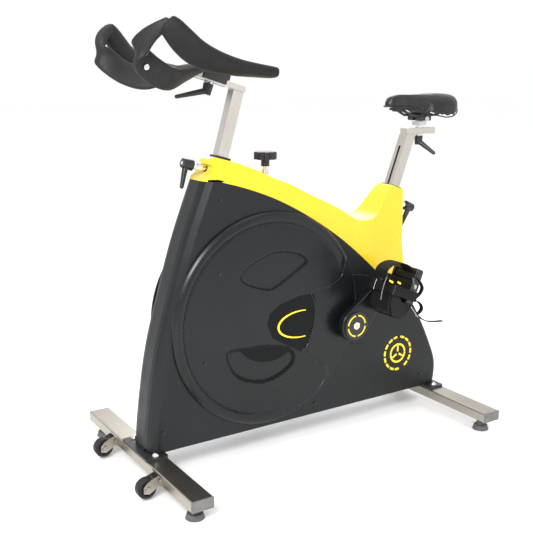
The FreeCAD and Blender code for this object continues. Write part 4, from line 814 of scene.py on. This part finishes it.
# ---------------------------------------------------------------------------------------------
# pedals: woven straps, buckle frame, loose strap end and reflectors
# ---------------------------------------------------------------------------------------------
TP = math.radians(68.0)
for sname, k in (("left", 1), ("right", -1)):
    a0, b0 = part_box(sname + "_pedal")
    pc = (a0 + b0) / 2
    ex, ey, ez = (pc.x - DX) / MM, pc.y / MM, pc.z / MM

    def L(x, y, z):
        return (ex + x * math.cos(TP) + z * math.sin(TP), ey + k * y, ez - x * math.sin(TP) + z * math.cos(TP))

    body, cage = sname + "_pedal", sname + "_toe_clip"
    wide = (math.cos(TP), 0.0, -math.sin(TP))
    corners = []
    for cy, cz, a1 in ((45.8, 69.8, 0), (-45.8, 69.8, 90), (-45.8, -10.8, 180), (45.8, -10.8, 270)):
        for i in range(6):
            a = math.radians(a1 + 18 * i)
            corners.append(L(25.5, cy + 5.0 * math.cos(a), cz + 5.0 * math.sin(a)))
    tube(sname + "_toe_strap", corners, 1, web, body, k=1, n=20, closed=True, flat=(13.2, 1.75, wide))
    side_out = [(50.2, -11), (82, -3), (97, 20), (93, 46), (66, 64), (22, 68), (22, 56), (50.2, 28)]
    for q, y0, y1 in (("outer", 38.6, 42.6), ("inner", -42.6, -38.6)):
        vs = [tuple(P(*L(x, y0, z))) for x, z in side_out] + [tuple(P(*L(x, y1, z))) for x, z in side_out]
        m = len(side_out)
        fs = [tuple(range(m)), tuple(range(2 * m - 1, m - 1, -1))] + [(j, (j + 1) % m, m + (j + 1) % m, m + j) for j in range(m)]
        make("%s_cage_web_%s" % (sname, q), vs, fs, web, body, smooth=False)
    for i, pts in enumerate(([L(70, y, 62.5) for y in (-40, -14, 14, 40)], [L(46, y, 67.0) for y in (-40, -14, 14, 40)])):
        tube("%s_cage_band_%d" % (sname, i), pts, 1, web, body, k=3, n=20, flat=(14.0, 1.6, (L(100, 0, 58)[0] - L(40, 0, 68)[0], 0.0, L(100, 0, 58)[2] - L(40, 0, 68)[2])))
    tube(sname + "_cage_front_band", [L(95.6, y, 22.0) for y in (-40, -14, 14, 40)], 1, web, body, k=3, n=20, flat=(13.5, 1.6, (math.sin(TP), 0.0, math.cos(TP))))
    tube(sname + "_buckle_pin", [L(12, -22, 80.5), L(26, -22, 81.0), L(40, -22, 80.5)], 1.6, chrome, body, k=4, n=10)
    tube(sname + "_strap_tail", [L(26, -12, 78.3), L(26, 8, 79.5), L(27, 30, 79.0), L(27, 50, 80.5)], 1, web, body, k=5, n=20, flat=(11.0, 1.1, wide))
    for i, px in enumerate((-27.5, 27.5)):
        tube("%s_tread_%d" % (sname, i), [L(px, y, 0) for y in (-37.4, -12, 12, 37.4)], 1, rubber, body, k=4, n=24, flat=(12.2, 8.0, wide))
    # loose end of the strap, its turned loops, grey lines along the strap edges as painted highlights, and the
    # reflectors
    if k == 1:
        first = (ex, ez)
    ox, oz = ex - first[0], ez - first[1]
    end = [(-258, 362), (-279, 345), (-302, 333), (-330, 327), (-361, 324)]
    tube(sname + "_strap_end", [(x + ox, k * 203, z + oz) for x, z in end], 1, web, body, k=6, n=16, flat=(5.5, 1.3, (0, 1, 0)))
    for i, pts in enumerate((((-250, 466), (-266, 452), (-277, 433), (-270, 418), (-256, 408)), ((-244, 404), (-268, 392), (-278, 376), (-272, 365), (-258, 358)))):
        tube("%s_strap_loop_%d" % (sname, i), [(x + ox, k * 206, z + oz) for x, z in pts], 1, web, body, k=6, n=16, flat=(6.5, 1.4, (0, 1, 0)))
    over = [(-152, 472), (-150, 494), (-170, 508), (-200, 510), (-232, 497), (-252, 476)]
    tube(sname + "_strap_over", [(x + ox, k * 184, z + oz) for x, z in over], 1, web, body, k=6, n=24, flat=(24.0, 1.6, (0, 1, 0)))
    # painted highlight: thin grey tubes along the strap edges stand in for light catching the edges
    tube(sname + "_strap_edge_highlight_a", [(x + ox, k * 206.5, z + oz) for x, z in ((-152, 484), (-142, 464), (-134, 440), (-131, 420))], 1.2, grey_plastic, body, k=6, n=10)
    tube(sname + "_strap_edge_highlight_b", [(x + ox, k * 206.5, z + oz) for x, z in ((-241, 465), (-246, 448), (-250, 428), (-251, 408))], 1.2, grey_plastic, body, k=6, n=10)
    tube(sname + "_pedal_plate", [(x + ox, k * 209.5, z + oz) for x, z in ((-233, 386), (-246, 370), (-260, 352))], 1, chrome, body, k=4, n=16, flat=(4.5, 0.8, (0, 1, 0)))
    for i, (rx, rz, hx, hz) in enumerate(((-167, 462, 6.5, 4.5), (-195, 454, 5.5, 3.5))):
        q = [(rx + ox + hx, rz + oz + 3), (rx + ox - hx, rz + oz - hz), (rx + ox - hx - 2, rz + oz - hz + 5), (rx + ox + hx - 2, rz + oz + 8)]
        vs = [tuple(P(x, k * (160 + 42.7), z)) for x, z in q] + [tuple(P(x, k * (160 + 44.2), z)) for x, z in q]
        make("%s_reflector_%d" % (sname, i), vs, [(0, 1, 2, 3), (4, 5, 6, 7), (0, 1, 5, 4), (1, 2, 6, 5), (2, 3, 7, 6), (3, 0, 4, 7)], yellow_ink, body, smooth=False)

# raised lines round the crank panel
for sname, k in (("left", 1), ("right", -1)):
    for i, (pts, y, r) in enumerate((([(-120, 491), (-109, 456), (-70, 436), (-11, 426), (-19, 397), (-22, 351), (-2, 287), (22, 263)], 62.6, 1.7),
                                     ([(22, 263), (-12, 236), (-58, 208), (-60, 170), (-20, 130), (34, 107)], 62.6, 1.7),
                                     ([(-128, 444), (-133, 404), (-127, 376)], 58.3, 1.5), ([(-149, 456), (-178, 451), (-207, 445)], 58.3, 2.0))):
        line = [(x, k * y, z) for x, z in pts]
        tube("%s_panel_line_%d" % (sname, i), line, r, gloss_black, "frame", k=6, n=10)

# ---------------------------------------------------------------------------------------------
# floor, light, camera
# ---------------------------------------------------------------------------------------------
me = bpy.data.meshes.new("floor")
R = 30.0
me.from_pydata([(-R, -R, -0.0004), (R, -R, -0.0004), (R, R, -0.0004), (-R, R, -0.0004)], [], [(0, 1, 2, 3)])
floor = bpy.data.objects.new("floor", me)
bpy.context.scene.collection.objects.link(floor)
fm = Tree("pale_floor")
fm.colour(fm.noise(1.5, 2.0), (0.985, 0.985, 0.985), (0.992, 0.992, 0.992))
fm.b.inputs["Roughness"].default_value = 0.8
fm.b.inputs["Specular IOR Level"].default_value = 0.1
me.materials.append(fm.m)


def area(name, loc, target, size, power, col=(1, 1, 1)):
    l = bpy.data.lights.new(name, "AREA")
    l.shape = "RECTANGLE"
    l.size, l.size_y = size
    l.energy = power
    l.color = col
    o = bpy.data.objects.new(name, l)
    bpy.context.scene.collection.objects.link(o)
    o.location = loc
    o.rotation_mode = "QUATERNION"
    o.rotation_quaternion = (Vector(target) - Vector(loc)).to_track_quat("-Z", "Y")
    return o


area("key", (2.4, 2.2, 2.6), (0.1, 0, 0.6), (1.2, 1.2), 125)
area("fill", (-2.2, 2.8, 1.6), (0, 0, 0.6), (2.2, 2.0), 8)
area("top", (0.0, 0.2, 3.2), (0, 0, 0.7), (2.2, 1.6), 18)
area("back", (-1.6, -2.6, 2.2), (0, 0, 0.7), (2.0, 1.6), 30)
world = bpy.data.worlds.new("studio")
bpy.context.scene.world = world
world.use_nodes = True
world.node_tree.nodes["Background"].inputs["Color"].default_value = (1, 1, 1, 1)
world.node_tree.nodes["Background"].inputs["Strength"].default_value = 1.01
bpy.context.scene.view_settings.view_transform = "Standard"
bpy.context.scene.view_settings.look = "None"
bpy.context.scene.view_settings.exposure = 0.0

cam = bpy.data.cameras.new("cam")
cam.sensor_fit = "HORIZONTAL"
cam.sensor_width = 36.0
cam.lens = 839.05 / 533.0 * 36.0
cam.clip_start, cam.clip_end = 0.05, 100
co = bpy.data.objects.new("cam", cam)
bpy.context.scene.collection.objects.link(co)
az, el = math.radians(147.35), math.radians(12.89)
back = Vector((math.sin(az) * math.cos(el), -math.cos(az) * math.cos(el), math.sin(el)))
co.location = P(1280.84, 1849.08, 1000.79)
co.rotation_mode = "QUATERNION"
co.rotation_quaternion = (-back).to_track_quat("-Z", "Y")
bpy.context.scene.camera = co
